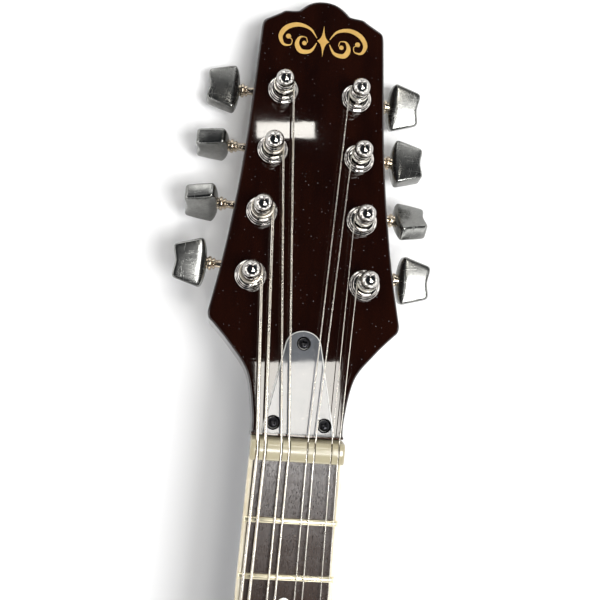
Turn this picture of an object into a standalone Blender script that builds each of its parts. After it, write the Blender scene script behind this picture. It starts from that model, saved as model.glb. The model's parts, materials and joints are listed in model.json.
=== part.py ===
"""Eight-string, four-course mandolin, built from its separate pieces.

The body lies on its flat back: +Z up, X across, +Y along the neck towards the
headstock.  The origin is on the back's outer face, in the middle of the body.
Sizes are in millimetres in the constants and turned into metres by MM.

The neck and the headstock have frames of their own:
  board frame   origin at the nut's front edge on top of the fingerboard,
                +Y towards the headstock, +Z out of the fingerboard
  head frame    on the headstock's face, +Y up the headstock, +Z out of it
  tail frame    on the tailpiece plate, +Y towards the bridge
"""
import math

import bmesh
import bpy
from mathutils import Matrix, Vector

MM = 0.001
GAP = 0.3                      # running and glue gap between touching pieces

# Playing length, neck and headstock angles
SCALE_LENGTH = 352.0
FRETS = 20
BODY_FRET = 14                 # the fret at the body's edge
NECK_PITCH = math.radians(3.5)
HEAD_ANGLE = math.radians(12.69)
NUT_HEIGHT = 64.5              # fingerboard's face above the back, at the nut

# Body
BODY_HALF_LENGTH = 175.0
BODY_HALF_WIDTH = 127.0
NECK_END_HALF_WIDTH = 29.0
WIDEST_Y = -52.0
ARCH_CENTRE_Y = -25.0
BACK_THICKNESS = 3.5
RIM_TOP = 56.0
TOP_THICKNESS = 4.0
ARCH_HEIGHT = 13.0
RIB_THICKNESS = 2.2
TOP_EDGE = RIM_TOP + TOP_THICKNESS

# Fingerboard, nut and neck
NUT_HALF_WIDTH = 15.35
BOARD_TAPER = 0.014            # half-width gained per millimetre from the nut
BOARD_THICKNESS = 5.0
BOARD_LENGTH = 246.0
FRET_WIDTH = 2.0
FRET_HEIGHT = 1.0
NUT_LENGTH = 6.8
NECK_DEPTH = 19.0

# Headstock
HEAD_START = Vector((0.0, 6.0, -3.07))     # in the board frame
HEAD_THICKNESS = 13.5
HEAD_FOOT = 1.3                # where the headstock's outline starts, behind the nut

# Tuners
TUNERS_A_SIDE = 4
POST_X = 19.76                 # first post, nearest the nut
POST_X_STEP = -2.114
POST_Y = 54.25
POST_PITCH = 23.06
POST_RADIUS = 3.0
POST_TOP = 12.6
HOLE_RADIUS = 4.6
PLATE_THICKNESS = 1.2
PLATE_TOP = -HEAD_THICKNESS - GAP
GEAR_RADIUS = 4.4
WORM_OFFSET = 7.3              # from the post's axis to the worm's, up the headstock
WORM_DEPTH = -17.5             # the worm's axis below the headstock's face
BUTTON_START = 16.2            # from the post's axis, outwards
BUTTON_LENGTH = 11.5
BUTTON_TURNS = {"bass": (18, 75, 89, -3), "treble": (13, -40, -5, 20)}     # degrees at rest

# Strings: (slot position at the nut, at the bridge, at the tailpiece, radius)
STRINGS = (
    (-13.15, -20.8, -15.0, 0.50), (-10.65, -17.6, -12.0, 0.50),
    (-5.40, -8.0, -6.2, 0.34), (-2.90, -4.8, -3.2, 0.34),
    (3.00, 4.8, 3.2, 0.20), (5.40, 8.0, 6.2, 0.20),
    (10.90, 17.6, 12.0, 0.15), (13.30, 20.8, 15.0, 0.15),
)
STRING_NAMES = ("g", "g", "d", "d", "a", "a", "e", "e")
STRING_AT_NUT = 1.45           # underside above the fingerboard
STRING_AT_BRIDGE = 3.8
STRING_AT_POST = 4.9           # above the headstock's face

# Bridge
BRIDGE_HALF_LENGTH = 56.0
BRIDGE_WIDTH = 11.0
SADDLE_HALF_LENGTH = 43.0
SADDLE_HEIGHT = 7.8
STUD_X = 32.0
STUD_RADIUS = 1.7
WHEEL_RADIUS = 6.0
WHEEL_THICKNESS = 2.0

# Tailpiece
TAIL_SLOPE = math.radians(6.65)
TAIL_ORIGIN = Vector((0.0, -BODY_HALF_LENGTH - 0.4, TOP_EDGE + 1.0))
TAIL_HALF_WIDTH = 18.0
TAIL_LENGTH = 60.0
HOOK_BAR_Y = 46.5

MATERIALS = {
    "gloss_brown": ((0.030, 0.009, 0.005), 0.12, 0.0),
    "spruce": ((0.22, 0.075, 0.022), 0.18, 0.0),
    "plain_spruce": ((0.55, 0.38, 0.20), 0.6, 0.0),
    "rosewood": ((0.085, 0.052, 0.040), 0.5, 0.0),
    "bone": ((0.82, 0.76, 0.62), 0.35, 0.0),
    "chrome": ((0.72, 0.72, 0.73), 0.10, 1.0),
    "nickel": ((0.52, 0.50, 0.46), 0.22, 1.0),
    "steel": ((0.60, 0.60, 0.60), 0.3, 1.0),
    "bronze": ((0.62, 0.50, 0.34), 0.3, 1.0),
    "brass": ((0.60, 0.45, 0.18), 0.3, 1.0),
    "cover_metal": ((0.42, 0.43, 0.45), 0.22, 1.0),
    "dark_screw": ((0.04, 0.04, 0.045), 0.35, 1.0),
}


# Small parts
END_PIN_Z = 20.0
ROD_Z = -9.8
COVER_FOOT = 1.9
COVER_THICKNESS = 1.4
COVER_SCREWS = (("cover_screw_top", 0.0, 32.2), ("cover_screw_bass", -8.5, 5.4),
                ("cover_screw_treble", 8.5, 5.4))
LUG_SPANS = ((-6.0, -4.8), (4.8, 6.0))
WORM_SHAFT_RADIUS = 1.5
WORM_RADIUS = 2.2
BUTTON_THICKNESS = 6.8
BUTTON_HALF = ((-0.6, 0.0), (-0.5, 3.0), (0.1, 6.0), (0.9, 8.3), (2.0, 8.8), (3.2, 8.5), (10.4, 6.4),
               (BUTTON_LENGTH, 5.2), (11.3, 3.0), (10.7, 1.2), (10.6, 0.0))      # wide end at the shaft
F_HOLE_SPINE = ((40.0, 42.0), (48.0, 34.0), (51.0, 12.0), (62.0, -16.0), (67.0, -40.0), (76.0, -50.0))
F_HOLE_WIDTH = 7.5
F_HOLE_EYES = (4.6, 6.0)

# ---------------------------------------------------------------- frames

def frame_matrix(origin, turn_x):
    """Matrix in millimetres of a frame at origin, turned about X."""
    return Matrix.Translation(origin) @ Matrix.Rotation(turn_x, 4, "X")


BODY_FRET_Y = -SCALE_LENGTH * (1 - 2 ** (-BODY_FRET / 12))
NUT_Y = BODY_HALF_LENGTH - BODY_FRET_Y * math.cos(NECK_PITCH)
BOARD = frame_matrix(Vector((0, NUT_Y, NUT_HEIGHT)), -NECK_PITCH)
HEAD = BOARD @ frame_matrix(HEAD_START, -HEAD_ANGLE)
TAIL = frame_matrix(TAIL_ORIGIN, TAIL_SLOPE)
SADDLE_POINT = BOARD @ Vector((0, -SCALE_LENGTH, STRING_AT_BRIDGE))
SADDLE_TOP = SADDLE_POINT.z - GAP - 0.1
BASE_TOP = SADDLE_TOP - SADDLE_HEIGHT - GAP - WHEEL_THICKNESS - 2.2


def place(obj, parent, location=(0, 0, 0), rotation=(0, 0, 0)):
    """Parent an object to a frame's empty and set its place there, in millimetres."""
    obj.parent = parent
    obj.location = Vector(location) * MM
    obj.rotation_euler = rotation


# ---------------------------------------------------------------- objects

def clear_scene():
    for obj in list(bpy.data.objects):
        bpy.data.objects.remove(obj, do_unlink=True)


def make_collection(name):
    collection = bpy.data.collections.new(name)
    bpy.context.scene.collection.children.link(collection)
    return collection


def make_material(name):
    colour, roughness, metallic = MATERIALS[name]
    material = bpy.data.materials.get(name) or bpy.data.materials.new(name)
    material.use_nodes = True
    shader = material.node_tree.nodes["Principled BSDF"]
    shader.inputs["Base Color"].default_value = (*colour, 1.0)
    shader.inputs["Roughness"].default_value = roughness
    shader.inputs["Metallic"].default_value = metallic
    return material


def make_empty(name, matrix, parent=None):
    empty = bpy.data.objects.new(name, None)
    PARTS.objects.link(empty)
    empty.empty_display_size = 0.02
    scaled = matrix.copy()
    scaled.translation = matrix.translation * MM
    empty.parent = parent
    empty.matrix_local = scaled
    return empty


def add_object(name, data, material=None, collection=None):
    obj = bpy.data.objects.new(name, data)
    (collection or PARTS).objects.link(obj)
    if material:
        data.materials.clear()
        data.materials.append(make_material(material))
    return obj


def evaluated_mesh(obj):
    """The object's mesh with its modifiers applied and its seams welded."""
    graph = bpy.context.evaluated_depsgraph_get()
    mesh = bpy.data.meshes.new_from_object(obj.evaluated_get(graph))
    bm = bmesh.new()
    bm.from_mesh(mesh)
    bmesh.ops.remove_doubles(bm, verts=bm.verts, dist=0.00001)
    bmesh.ops.recalc_face_normals(bm, faces=bm.faces)
    bm.to_mesh(mesh)
    bm.free()
    return mesh


def settle(obj, smooth_angle=40):
    """Replace an object by the mesh that its modifiers or its curve make."""
    mesh = evaluated_mesh(obj)
    name, old = obj.name, obj.data
    materials = list(old.materials)
    obj.name = name + "_draft"
    new = bpy.data.objects.new(name, mesh)
    for collection in obj.users_collection:
        collection.objects.link(new)
    new.parent = obj.parent
    new.matrix_local = obj.matrix_local.copy()
    mesh.materials.clear()
    for material in materials:
        mesh.materials.append(material)
    mesh.shade_smooth()
    mesh.set_sharp_from_angle(angle=math.radians(smooth_angle))
    bpy.data.objects.remove(obj, do_unlink=True)
    new.name = name
    return new


def mesh_object(name, bm, material, collection=None):
    mesh = bpy.data.meshes.new(name)
    bm.to_mesh(mesh)
    bm.free()
    return add_object(name, mesh, material, collection)


def box(name, low, high, material=None, collection=None):
    """A box from its low corner to its high corner, in millimetres."""
    low, high = Vector(low) * MM, Vector(high) * MM
    bm = bmesh.new()
    bmesh.ops.create_cube(bm, size=1.0)
    bmesh.ops.scale(bm, vec=high - low, verts=bm.verts)
    bmesh.ops.translate(bm, vec=(high + low) / 2, verts=bm.verts)
    return mesh_object(name, bm, material, collection)


def rod(name, radius, low, high, material=None, sides=16, axis="Z", collection=None, sides_turn=0.0):
    """A cylinder on an axis through the object's origin, from low to high."""
    bm = bmesh.new()
    bmesh.ops.create_cone(bm, cap_ends=True, segments=sides, radius1=radius * MM,
                          radius2=radius * MM, depth=(high - low) * MM)
    bmesh.ops.rotate(bm, matrix=Matrix.Rotation(sides_turn, 3, "Z"), verts=bm.verts)
    bmesh.ops.translate(bm, vec=(0, 0, (high + low) / 2 * MM), verts=bm.verts)
    turn = {"Z": Matrix.Identity(3), "X": Matrix.Rotation(math.pi / 2, 3, "Y"),
            "Y": Matrix.Rotation(-math.pi / 2, 3, "X")}[axis]
    bmesh.ops.rotate(bm, matrix=turn, verts=bm.verts)
    return mesh_object(name, bm, material, collection)


def turned(name, profile, material, steps=16):
    """A turned piece about Z from (radius, height) points, listed top to bottom."""
    mesh = bpy.data.meshes.new(name)
    points = [(radius * MM, 0.0, height * MM) for radius, height in profile]
    mesh.from_pydata(points, [(i, i + 1) for i in range(len(points) - 1)], [])
    obj = add_object(name, mesh, material)
    screw = obj.modifiers.new("turn", "SCREW")
    screw.steps = screw.render_steps = steps
    screw.use_merge_vertices = True
    screw.merge_threshold = 0.00001
    return obj


def outline_solid(name, points, thickness, material=None, collection=None, bevel=0.0):
    """A flat outline with a thickness along Z, its middle on Z = 0."""
    curve = bpy.data.curves.new(name, "CURVE")
    curve.dimensions = "2D"
    curve.fill_mode = "BOTH"
    curve.extrude = (thickness / 2 - bevel) * MM
    curve.bevel_depth = bevel * MM
    curve.bevel_resolution = 0
    curve.offset = -bevel * MM
    spline = curve.splines.new("POLY")
    spline.points.add(len(points) - 1)
    for point, (x, y) in zip(spline.points, points):
        point.co = (x * MM, y * MM, 0.0, 1.0)
    spline.use_cyclic_u = True
    return add_object(name, curve, material, collection)


def tube(name, points, radius, material):
    """A wire through world points, in millimetres."""
    curve = bpy.data.curves.new(name, "CURVE")
    curve.dimensions = "3D"
    curve.bevel_depth = radius * MM
    curve.bevel_resolution = 1
    curve.use_fill_caps = True
    spline = curve.splines.new("POLY")
    spline.points.add(len(points) - 1)
    for point, place_mm in zip(spline.points, points):
        point.co = (*(Vector(place_mm) * MM), 1.0)
    return settle(add_object(name, curve, material))


def loft(name, rings, material):
    """A closed solid through rings of equally many points, in millimetres."""
    bm = bmesh.new()
    loops = [[bm.verts.new(Vector(point) * MM) for point in ring] for ring in rings]
    for first, second in zip(loops, loops[1:]):
        count = len(first)
        for i in range(count):
            j = (i + 1) % count
            bm.faces.new((first[i], first[j], second[j], second[i]))
    bm.faces.new(loops[0])
    bm.faces.new(loops[-1])
    bmesh.ops.recalc_face_normals(bm, faces=bm.faces)
    bmesh.ops.triangulate(bm, faces=[f for f in bm.faces if len(f.verts) > 4])
    return mesh_object(name, bm, material)


def combine(target, others, operation):
    """Cut or join other objects into the target; joined ones are then removed."""
    for other in others:
        if other.type == "CURVE":
            other = settle(other)
        modifier = target.modifiers.new(other.name, "BOOLEAN")
        modifier.operation = operation
        modifier.object = other
        if operation == "UNION":
            target = settle(target)
            bpy.data.objects.remove(other, do_unlink=True)
        else:
            other.hide_render = True
            other.display_type = "WIRE"
    return target if operation == "UNION" else settle(target)


# ---------------------------------------------------------------- shapes

def bezier(start, handle_a, handle_b, end, steps):
    """Points along a cubic curve, without its last one."""
    points = []
    for i in range(steps):
        t = i / steps
        weights = ((1 - t) ** 3, 3 * t * (1 - t) ** 2, 3 * t * t * (1 - t), t ** 3)
        points.append(tuple(sum(w * p[k] for w, p in zip(weights, (start, handle_a, handle_b, end)))
                            for k in range(2)))
    return points


def through(points, steps):
    """A smooth line through the given points (Catmull-Rom), with its last one."""
    padded = [points[0], *points, points[-1]]
    line = []
    for before, start, end, after in zip(padded, padded[1:], padded[2:], padded[3:]):
        for i in range(steps):
            t = i / steps
            line.append(tuple(0.5 * (2 * s + (e - b) * t + (2 * b - 5 * s + 4 * e - a) * t * t
                                     + (3 * s - b - 3 * e + a) * t ** 3)
                              for b, s, e, a in zip(before, start, end, after)))
    return line + [points[-1]]


def mirrored(half):
    """Close a right-hand half, which runs from the foot to the top, with its mirror."""
    left = [(-x, y) for x, y in reversed(half) if x > 0.01]
    return half + left


def half_body_outline():
    """Right half of the teardrop body, tail first."""
    tail, widest = (0.0, -BODY_HALF_LENGTH), (BODY_HALF_WIDTH, WIDEST_Y)
    neck_end = (NECK_END_HALF_WIDTH, BODY_HALF_LENGTH)
    lower = bezier(tail, (72.0, -BODY_HALF_LENGTH), (BODY_HALF_WIDTH, -124.0), widest, 12)
    upper = bezier(widest, (BODY_HALF_WIDTH, 40.0), (66.0, 144.0), neck_end, 12)
    return lower + upper + [neck_end, (0.0, BODY_HALF_LENGTH)]


def inset(points, distance):
    """A closed outline moved inwards by a distance."""
    moved = []
    for before, here, after in zip(points[-1:] + points[:-1], points, points[1:] + points[:1]):
        a = (Vector(here) - Vector(before)).normalized()
        b = (Vector(after) - Vector(here)).normalized()
        normal = Vector((-(a.y + b.y), a.x + b.x)).normalized()
        reach = distance / max(0.3, math.sqrt((1 + a.dot(b)) / 2))
        moved.append(tuple(Vector(here) + normal * reach))
    return moved


BODY_OUTLINE = mirrored(half_body_outline())


def edge_share(x, y):
    """How far a point lies from the arch's centre, as a share of the way to the edge."""
    ray = Vector((x, y - ARCH_CENTRE_Y))
    if ray.length < 0.01:
        return 0.0
    for first, second in zip(BODY_OUTLINE, BODY_OUTLINE[1:] + BODY_OUTLINE[:1]):
        a = Vector((first[0], first[1] - ARCH_CENTRE_Y))
        side = Vector(second) - Vector(first)
        denominator = ray.x * side.y - ray.y * side.x
        if abs(denominator) < 1e-9:
            continue
        reach = (a.x * side.y - a.y * side.x) / denominator
        along = (a.x * ray.y - a.y * ray.x) / denominator
        if reach > 0 and -1e-6 <= along <= 1 + 1e-6:
            return 1.0 / reach
    return 1.0


def arch(share):
    """Rise of the carved top at a share of the way from its centre to its edge."""
    return ARCH_HEIGHT * 0.5 * (1 + math.cos(math.pi * min(1.0, share / 0.93)))


def top_height(x, y):
    return TOP_EDGE + arch(edge_share(x, y))


def fret_place(number):
    return -SCALE_LENGTH * (1 - 2 ** (-number / 12))


def board_half_width(y):
    return NUT_HALF_WIDTH - BOARD_TAPER * y


# ---------------------------------------------------------------- body

def build_back_plate():
    plate = settle(outline_solid("back_plate", BODY_OUTLINE, BACK_THICKNESS, "gloss_brown"))
    place(plate, None, (0, 0, BACK_THICKNESS / 2))


def build_side(name, side):
    """One bent rib, from the tail seam round to the neck end."""
    half = half_body_outline()
    half[0] = (0.15, half[0][1])
    half[-1] = (0.15, half[-1][1])
    low, high = BACK_THICKNESS + GAP, RIM_TOP - GAP
    bm = bmesh.new()
    verts = [bm.verts.new(Vector((side * x, y, low)) * MM) for x, y in half]
    edges = [bm.edges.new(pair) for pair in zip(verts, verts[1:])]
    grown = bmesh.ops.extrude_edge_only(bm, edges=edges)["geom"]
    top = [item for item in grown if isinstance(item, bmesh.types.BMVert)]
    bmesh.ops.translate(bm, vec=(0, 0, (high - low) * MM), verts=top)
    bmesh.ops.recalc_face_normals(bm, faces=bm.faces)
    outwards = sum(face.normal.x * side for face in bm.faces) > 0
    rib = mesh_object(name, bm, "gloss_brown")
    shell = rib.modifiers.new("wall", "SOLIDIFY")
    shell.thickness = RIB_THICKNESS * MM
    shell.offset = -1.0 if outwards else 1.0
    shell.use_even_offset = True
    hole = rod(name + "_pin_hole", 4.3, -20, 20, axis="Y", collection=CUTTERS)
    place(hole, None, (0, -BODY_HALF_LENGTH, END_PIN_Z))
    combine(settle(rib), [hole], "DIFFERENCE")


def build_soundboard():
    """Carved top: rings from the edge to the crown, given a thickness, with two f-holes."""
    shares = (1.0, 0.92, 0.80, 0.66, 0.50, 0.33, 0.15)
    bm = bmesh.new()
    loops = []
    for share in shares:
        loops.append([bm.verts.new(Vector((x * share, ARCH_CENTRE_Y + (y - ARCH_CENTRE_Y) * share,
                                           TOP_EDGE + arch(share))) * MM)
                      for x, y in BODY_OUTLINE])
    for outer, inner in zip(loops, loops[1:]):
        for i in range(len(outer)):
            j = (i + 1) % len(outer)
            bm.faces.new((outer[i], outer[j], inner[j], inner[i]))
    bm.faces.new(loops[-1])
    for face in bm.faces:
        face.normal_update()
        if face.normal.z < 0:
            face.normal_flip()
    soundboard = mesh_object("soundboard", bm, "spruce")
    shell = soundboard.modifiers.new("plate", "SOLIDIFY")
    shell.thickness = TOP_THICKNESS * MM
    shell.offset = -1.0
    cutters = [build_f_hole_cutter(side) for side in (-1, 1)]
    combine(settle(soundboard), cutters, "DIFFERENCE")


def build_f_hole_cutter(side):
    """An f-hole's slanting slot with a round eye at each end."""
    spine = through(F_HOLE_SPINE, 4)
    widths = [F_HOLE_WIDTH * (0.62 + 0.38 * math.sin(math.pi * i / (len(spine) - 1)))
              for i in range(len(spine))]
    right, left = [], []
    for i, (x, y) in enumerate(spine):
        before, after = spine[max(0, i - 1)], spine[min(len(spine) - 1, i + 1)]
        along = Vector((after[0] - before[0], after[1] - before[1])).normalized()
        across = Vector((along.y, -along.x)) * widths[i] / 2
        right.append((side * (x + across.x), y + across.y))
        left.append((side * (x - across.x), y - across.y))
    label = "bass" if side < 0 else "treble"
    slot = settle(outline_solid(label + "_f_slot", right + left[::-1], 40, collection=CUTTERS))
    eyes = []
    for end, radius in ((0, F_HOLE_EYES[0]), (-1, F_HOLE_EYES[1])):
        eye = rod(f"{label}_f_eye_{len(eyes)}", radius, -20, 20, sides=14, collection=CUTTERS)
        place(eye, None, (side * spine[end][0], spine[end][1], 0))
        eyes.append(eye)
    slot = combine(slot, eyes, "UNION")
    place(slot, None, (0, 0, TOP_EDGE))
    return slot


def build_blocks():
    """Neck block and tail block, glued inside the ribs."""
    clear = RIB_THICKNESS + 2 * GAP
    low, high = BACK_THICKNESS + GAP, RIM_TOP - GAP
    head = box("head_block", (-24, BODY_HALF_LENGTH - clear - 28, low),
               (24, BODY_HALF_LENGTH - clear, high), "plain_spruce")
    head.data.shade_flat()
    inner = [p for p in inset(BODY_OUTLINE, clear) if abs(p[0]) < 32 and p[1] < 0]
    inner.sort(key=lambda p: p[0])
    front = -BODY_HALF_LENGTH + 18
    tail = settle(outline_solid("tail_block", inner + [(inner[-1][0], front), (inner[0][0], front)],
                                high - low, "plain_spruce"))
    place(tail, None, (0, 0, (low + high) / 2))
    hole = rod("tail_block_pin_hole", 4.3, -40, 40, axis="Y", collection=CUTTERS)
    place(hole, None, (0, -BODY_HALF_LENGTH, END_PIN_Z))
    combine(tail, [hole], "DIFFERENCE")


def build_tone_bar(name, side):
    """A bar glued lengthwise under the top, following its underside."""
    rings = []
    for i in range(9):
        y = -110.0 + 220.0 * i / 8
        x = side * (26.0 + 10.0 * (1 - i / 8))
        upper = min(top_height(x - 3, y), top_height(x + 3, y)) - TOP_THICKNESS - 2 * GAP - 0.6
        height = 4.0 + 7.0 * math.sin(math.pi * i / 8)
        rings.append([(x - 3, y, upper), (x + 3, y, upper), (x + 3, y, upper - height),
                      (x - 3, y, upper - height)])
    loft(name, rings, "plain_spruce")


def build_end_pin():
    pin = turned("end_pin", ((0, 14.0), (5.0, 13.6), (7.0, 12.2), (7.2, 10.8), (5.6, 9.2), (4.6, 6.0),
                             (4.9, 3.0), (6.4, 1.6), (6.4, 0.4), (3.9, 0.4), (3.5, -16.0), (0, -16.0)),
                 "chrome")
    pin = settle(pin)
    place(pin, None, (0, -BODY_HALF_LENGTH, END_PIN_Z), (math.pi / 2, 0, 0))


# ---------------------------------------------------------------- neck

def neck_ring(y, half_width, depth, top, lean=False, narrowing=0.0, count=12):
    """A D-shaped section; lean keeps the ring upright against the body's end."""
    shoulder = 1.5
    points = []
    for i in range(count + 1):
        angle = math.pi * i / count
        drop = shoulder + (depth + top - shoulder) * math.sin(angle)
        width = half_width * (1 - narrowing * math.sin(angle) ** 2)
        points.append((width * math.cos(angle), top - drop))
    points = [(half_width, top), *points, (-half_width, top)]
    return [(x, upright(y, z) if lean else y, z) for x, z in points]


def upright(y, z):
    """Board-frame Y that stands straight over (y, 0) in the body's frame."""
    return y - z * math.tan(NECK_PITCH)


def build_neck():
    top = -BOARD_THICKNESS - GAP
    end = BODY_FRET_Y + 0.4
    sections = (
        # beyond the body's end, depth, narrowing towards the heel's cap
        (0.0, 73.5, 0.50), (6.0, 66.0, 0.46), (13.0, 48.0, 0.34), (21.0, 34.0, 0.18),
        (31.0, 26.0, 0.06), (46.0, 22.5, 0.0), (95.0, 20.8, 0.0),
    )
    rings = [neck_ring(end + along, board_half_width(end + along) - 0.2, depth, top,
                       lean=depth > 40, narrowing=narrow) for along, depth, narrow in sections]
    rings.append(neck_ring(-10.0, NUT_HALF_WIDTH - 0.15, NECK_DEPTH + 0.3, top))
    rings.append(neck_ring(NUT_LENGTH + 0.1, NUT_HALF_WIDTH - 0.3, NECK_DEPTH, top))
    rings.append(neck_ring(16.0, NUT_HALF_WIDTH - 1.0, NECK_DEPTH, -7.5))
    rings.append(neck_ring(28.0, NUT_HALF_WIDTH - 3.0, NECK_DEPTH + 0.8, -11.0))
    neck = loft("neck", rings, "gloss_brown")
    riser = box("riser", (-17.4, -BOARD_LENGTH, -15.8), (17.4, end + 8.0, top))
    head = settle(outline_solid("headstock", mirrored(half_head_outline()), HEAD_THICKNESS, bevel=0.8))
    head_frame = frame_matrix(HEAD_START, -HEAD_ANGLE) @ Matrix.Translation((0, 0, -HEAD_THICKNESS / 2))
    head.location = head_frame.translation * MM
    head.rotation_euler = (-HEAD_ANGLE, 0, 0)
    neck = combine(neck, [riser, head], "UNION")
    place(neck, BOARD_FRAME)
    combine(neck, neck_cutters(), "DIFFERENCE")


def neck_cutters():
    """Truss rod channel and pocket, tuner holes and screw holes."""
    cutters = [box("rod_channel", (-2.6, -187, ROD_Z - 2.8), (2.6, 10.5, -BOARD_THICKNESS),
                   collection=CUTTERS),
               box("rod_pocket", (-4.8, 9.6, ROD_Z - 4.2), (4.8, 25.0, 2.0), collection=CUTTERS)]
    for cutter in cutters:
        place(cutter, BOARD_FRAME)
    for side in (-1, 1):
        for number in range(TUNERS_A_SIDE):
            x, y = post_place(side, number)
            hole = rod(f"tuner_hole_{side}_{number}", HOLE_RADIUS, -HEAD_THICKNESS - 3, 3,
                       sides=20, collection=CUTTERS)
            place(hole, HEAD_FRAME, (x, y, 0))
            cutters.append(hole)
    for label, x, y in COVER_SCREWS:
        hole = rod(f"{label}_hole", 1.35, -8.5, 3, sides=10, collection=CUTTERS)
        place(hole, HEAD_FRAME, (x, y, 0))
        cutters.append(hole)
    return cutters


def half_head_outline():
    """Right half of the headstock: shoulder, concave side and stepped crown."""
    shoulder = through(((15.4, HEAD_FOOT), (15.5, 8.0), (18.3, 21.4), (24.9, 30.5), (30.8, 36.9)), 4)
    tip = bezier((32.2, 38.2), (33.2, 39.3), (33.2, 40.9), (32.9, 42.3), 4)
    side = through(((32.9, 42.3), (29.8, 60.0), (26.9, 83.0), (25.0, 105.0), (23.9, 127.0),
                    (22.9, 148.0)), 3)
    corner = bezier((22.8, 149.2), (22.6, 151.0), (22.2, 151.6), (20.9, 152.3), 3)
    crown = [(20.9, 152.3), (16.6, 154.9)]
    crown += bezier((15.2, 155.9), (14.2, 156.5), (11.4, 156.2), (9.6, 156.8), 4)
    crown += bezier((9.6, 156.8), (7.2, 159.4), (4.6, 161.6), (0.0, 161.6), 6)
    return shoulder + tip + side + corner + crown + [(0.0, 161.6)]


def build_fingerboard():
    """Board with its frets pressed in, standing proud."""
    end_width = board_half_width(-BOARD_LENGTH)
    outline = ((NUT_HALF_WIDTH, -GAP), (-NUT_HALF_WIDTH, -GAP), (-end_width, -BOARD_LENGTH),
               (end_width, -BOARD_LENGTH))
    board = settle(outline_solid("fingerboard", outline, BOARD_THICKNESS - 0.05, "rosewood"))
    board.location.z = -(BOARD_THICKNESS - 0.05) / 2 * MM
    frets = []
    for number in range(1, FRETS + 1):
        y = fret_place(number)
        half = board_half_width(y) - 0.15
        frets.append(box(f"fret_{number}", (-half, y - FRET_WIDTH / 2, -0.4),
                         (half, y + FRET_WIDTH / 2, FRET_HEIGHT)))
    board = combine(board, frets, "UNION")
    place(board, BOARD_FRAME, board.location / MM)


def build_nut():
    """Slotted nut with a rounded back."""
    low, high = -BOARD_THICKNESS, STRING_AT_NUT + 1.2
    profile = [(0.0, low), (NUT_LENGTH, low), (NUT_LENGTH, 0.2)]
    profile += bezier((NUT_LENGTH, 0.4), (NUT_LENGTH, high), (NUT_LENGTH - 2.0, high), (3.0, high), 5)
    profile += [(3.0, high), (0.0, high - 0.4)]
    half = NUT_HALF_WIDTH - 0.05
    nut = loft("nut", [[(x, y, z) for y, z in profile] for x in (-half, half)], "bone")
    slots = [build_nut_slot(number, x, radius + GAP, high + 2)
             for number, (x, _, _, radius) in enumerate(STRINGS)]
    place(nut, BOARD_FRAME)
    combine(nut, slots, "DIFFERENCE")


def build_nut_slot(number, x, half_width, high):
    """Cutter for a slot: level over the nut's front half, then falling towards the posts."""
    level = STRING_AT_NUT - GAP - 0.15
    back = NUT_LENGTH + 2
    fall = (back - NUT_LENGTH / 2) * math.tan(HEAD_ANGLE)
    profile = ((-2, high), (-2, level), (NUT_LENGTH / 2, level), (back, level - fall), (back, high))
    slot = loft(f"nut_slot_{number}", [[(x + dx, y, z) for y, z in profile]
                                       for dx in (-half_width, half_width)], None)
    PARTS.objects.unlink(slot)
    CUTTERS.objects.link(slot)
    place(slot, BOARD_FRAME)
    return slot


def build_truss_rod():
    steel = rod("truss_rod", 1.9, -184, 18.0, "steel", sides=12, axis="Y")
    place(steel, BOARD_FRAME, (0, 0, ROD_Z))
    hexagon = rod("truss_rod_nut", 3.4, -2.6, 2.6, "brass", sides=6, axis="Y", sides_turn=math.pi / 6)
    place(hexagon, BOARD_FRAME, (0, 14.6, ROD_Z))
    bore = rod("rod_nut_bore", 2.25, -5, 5, sides=12, axis="Y", collection=CUTTERS)
    place(bore, BOARD_FRAME, (0, 14.6, ROD_Z))
    combine(hexagon, [bore], "DIFFERENCE")


def build_truss_rod_cover():
    """Bullet-shaped plate behind the nut, with its three screws."""
    arch_points = bezier((6.2, 31.6), (5.2, 38.3), (-5.2, 38.3), (-6.2, 31.6), 8)
    outline = [(12.3, COVER_FOOT), *arch_points, (-6.2, 31.6), (-12.3, COVER_FOOT)]
    cover = settle(outline_solid("truss_rod_cover", outline, COVER_THICKNESS, "cover_metal", bevel=0.35))
    place(cover, HEAD_FRAME, (0, 0, GAP + COVER_THICKNESS / 2))
    holes = []
    for label, x, y in COVER_SCREWS:
        hole = rod(f"{label}_clearance", 1.35, -3, 5, sides=10, collection=CUTTERS)
        place(hole, HEAD_FRAME, (x, y, 0))
        holes.append(hole)
    combine(cover, holes, "DIFFERENCE")
    seat = 2 * GAP + COVER_THICKNESS
    for label, x, y in COVER_SCREWS:
        screw = settle(turned(label, ((0, seat + 1.1), (1.1, seat + 1.0), (1.9, seat + 0.5), (2.1, seat),
                                      (1.0, seat), (1.0, -6.5), (0.2, -8.0), (0, -8.0)), "dark_screw", 12))
        place(screw, HEAD_FRAME, (x, y, 0))


# ---------------------------------------------------------------- tuners

def post_place(side, number):
    """Head-frame place of a tuner post, counted from the nut."""
    return side * (POST_X + POST_X_STEP * number), POST_Y + POST_PITCH * number


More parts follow.
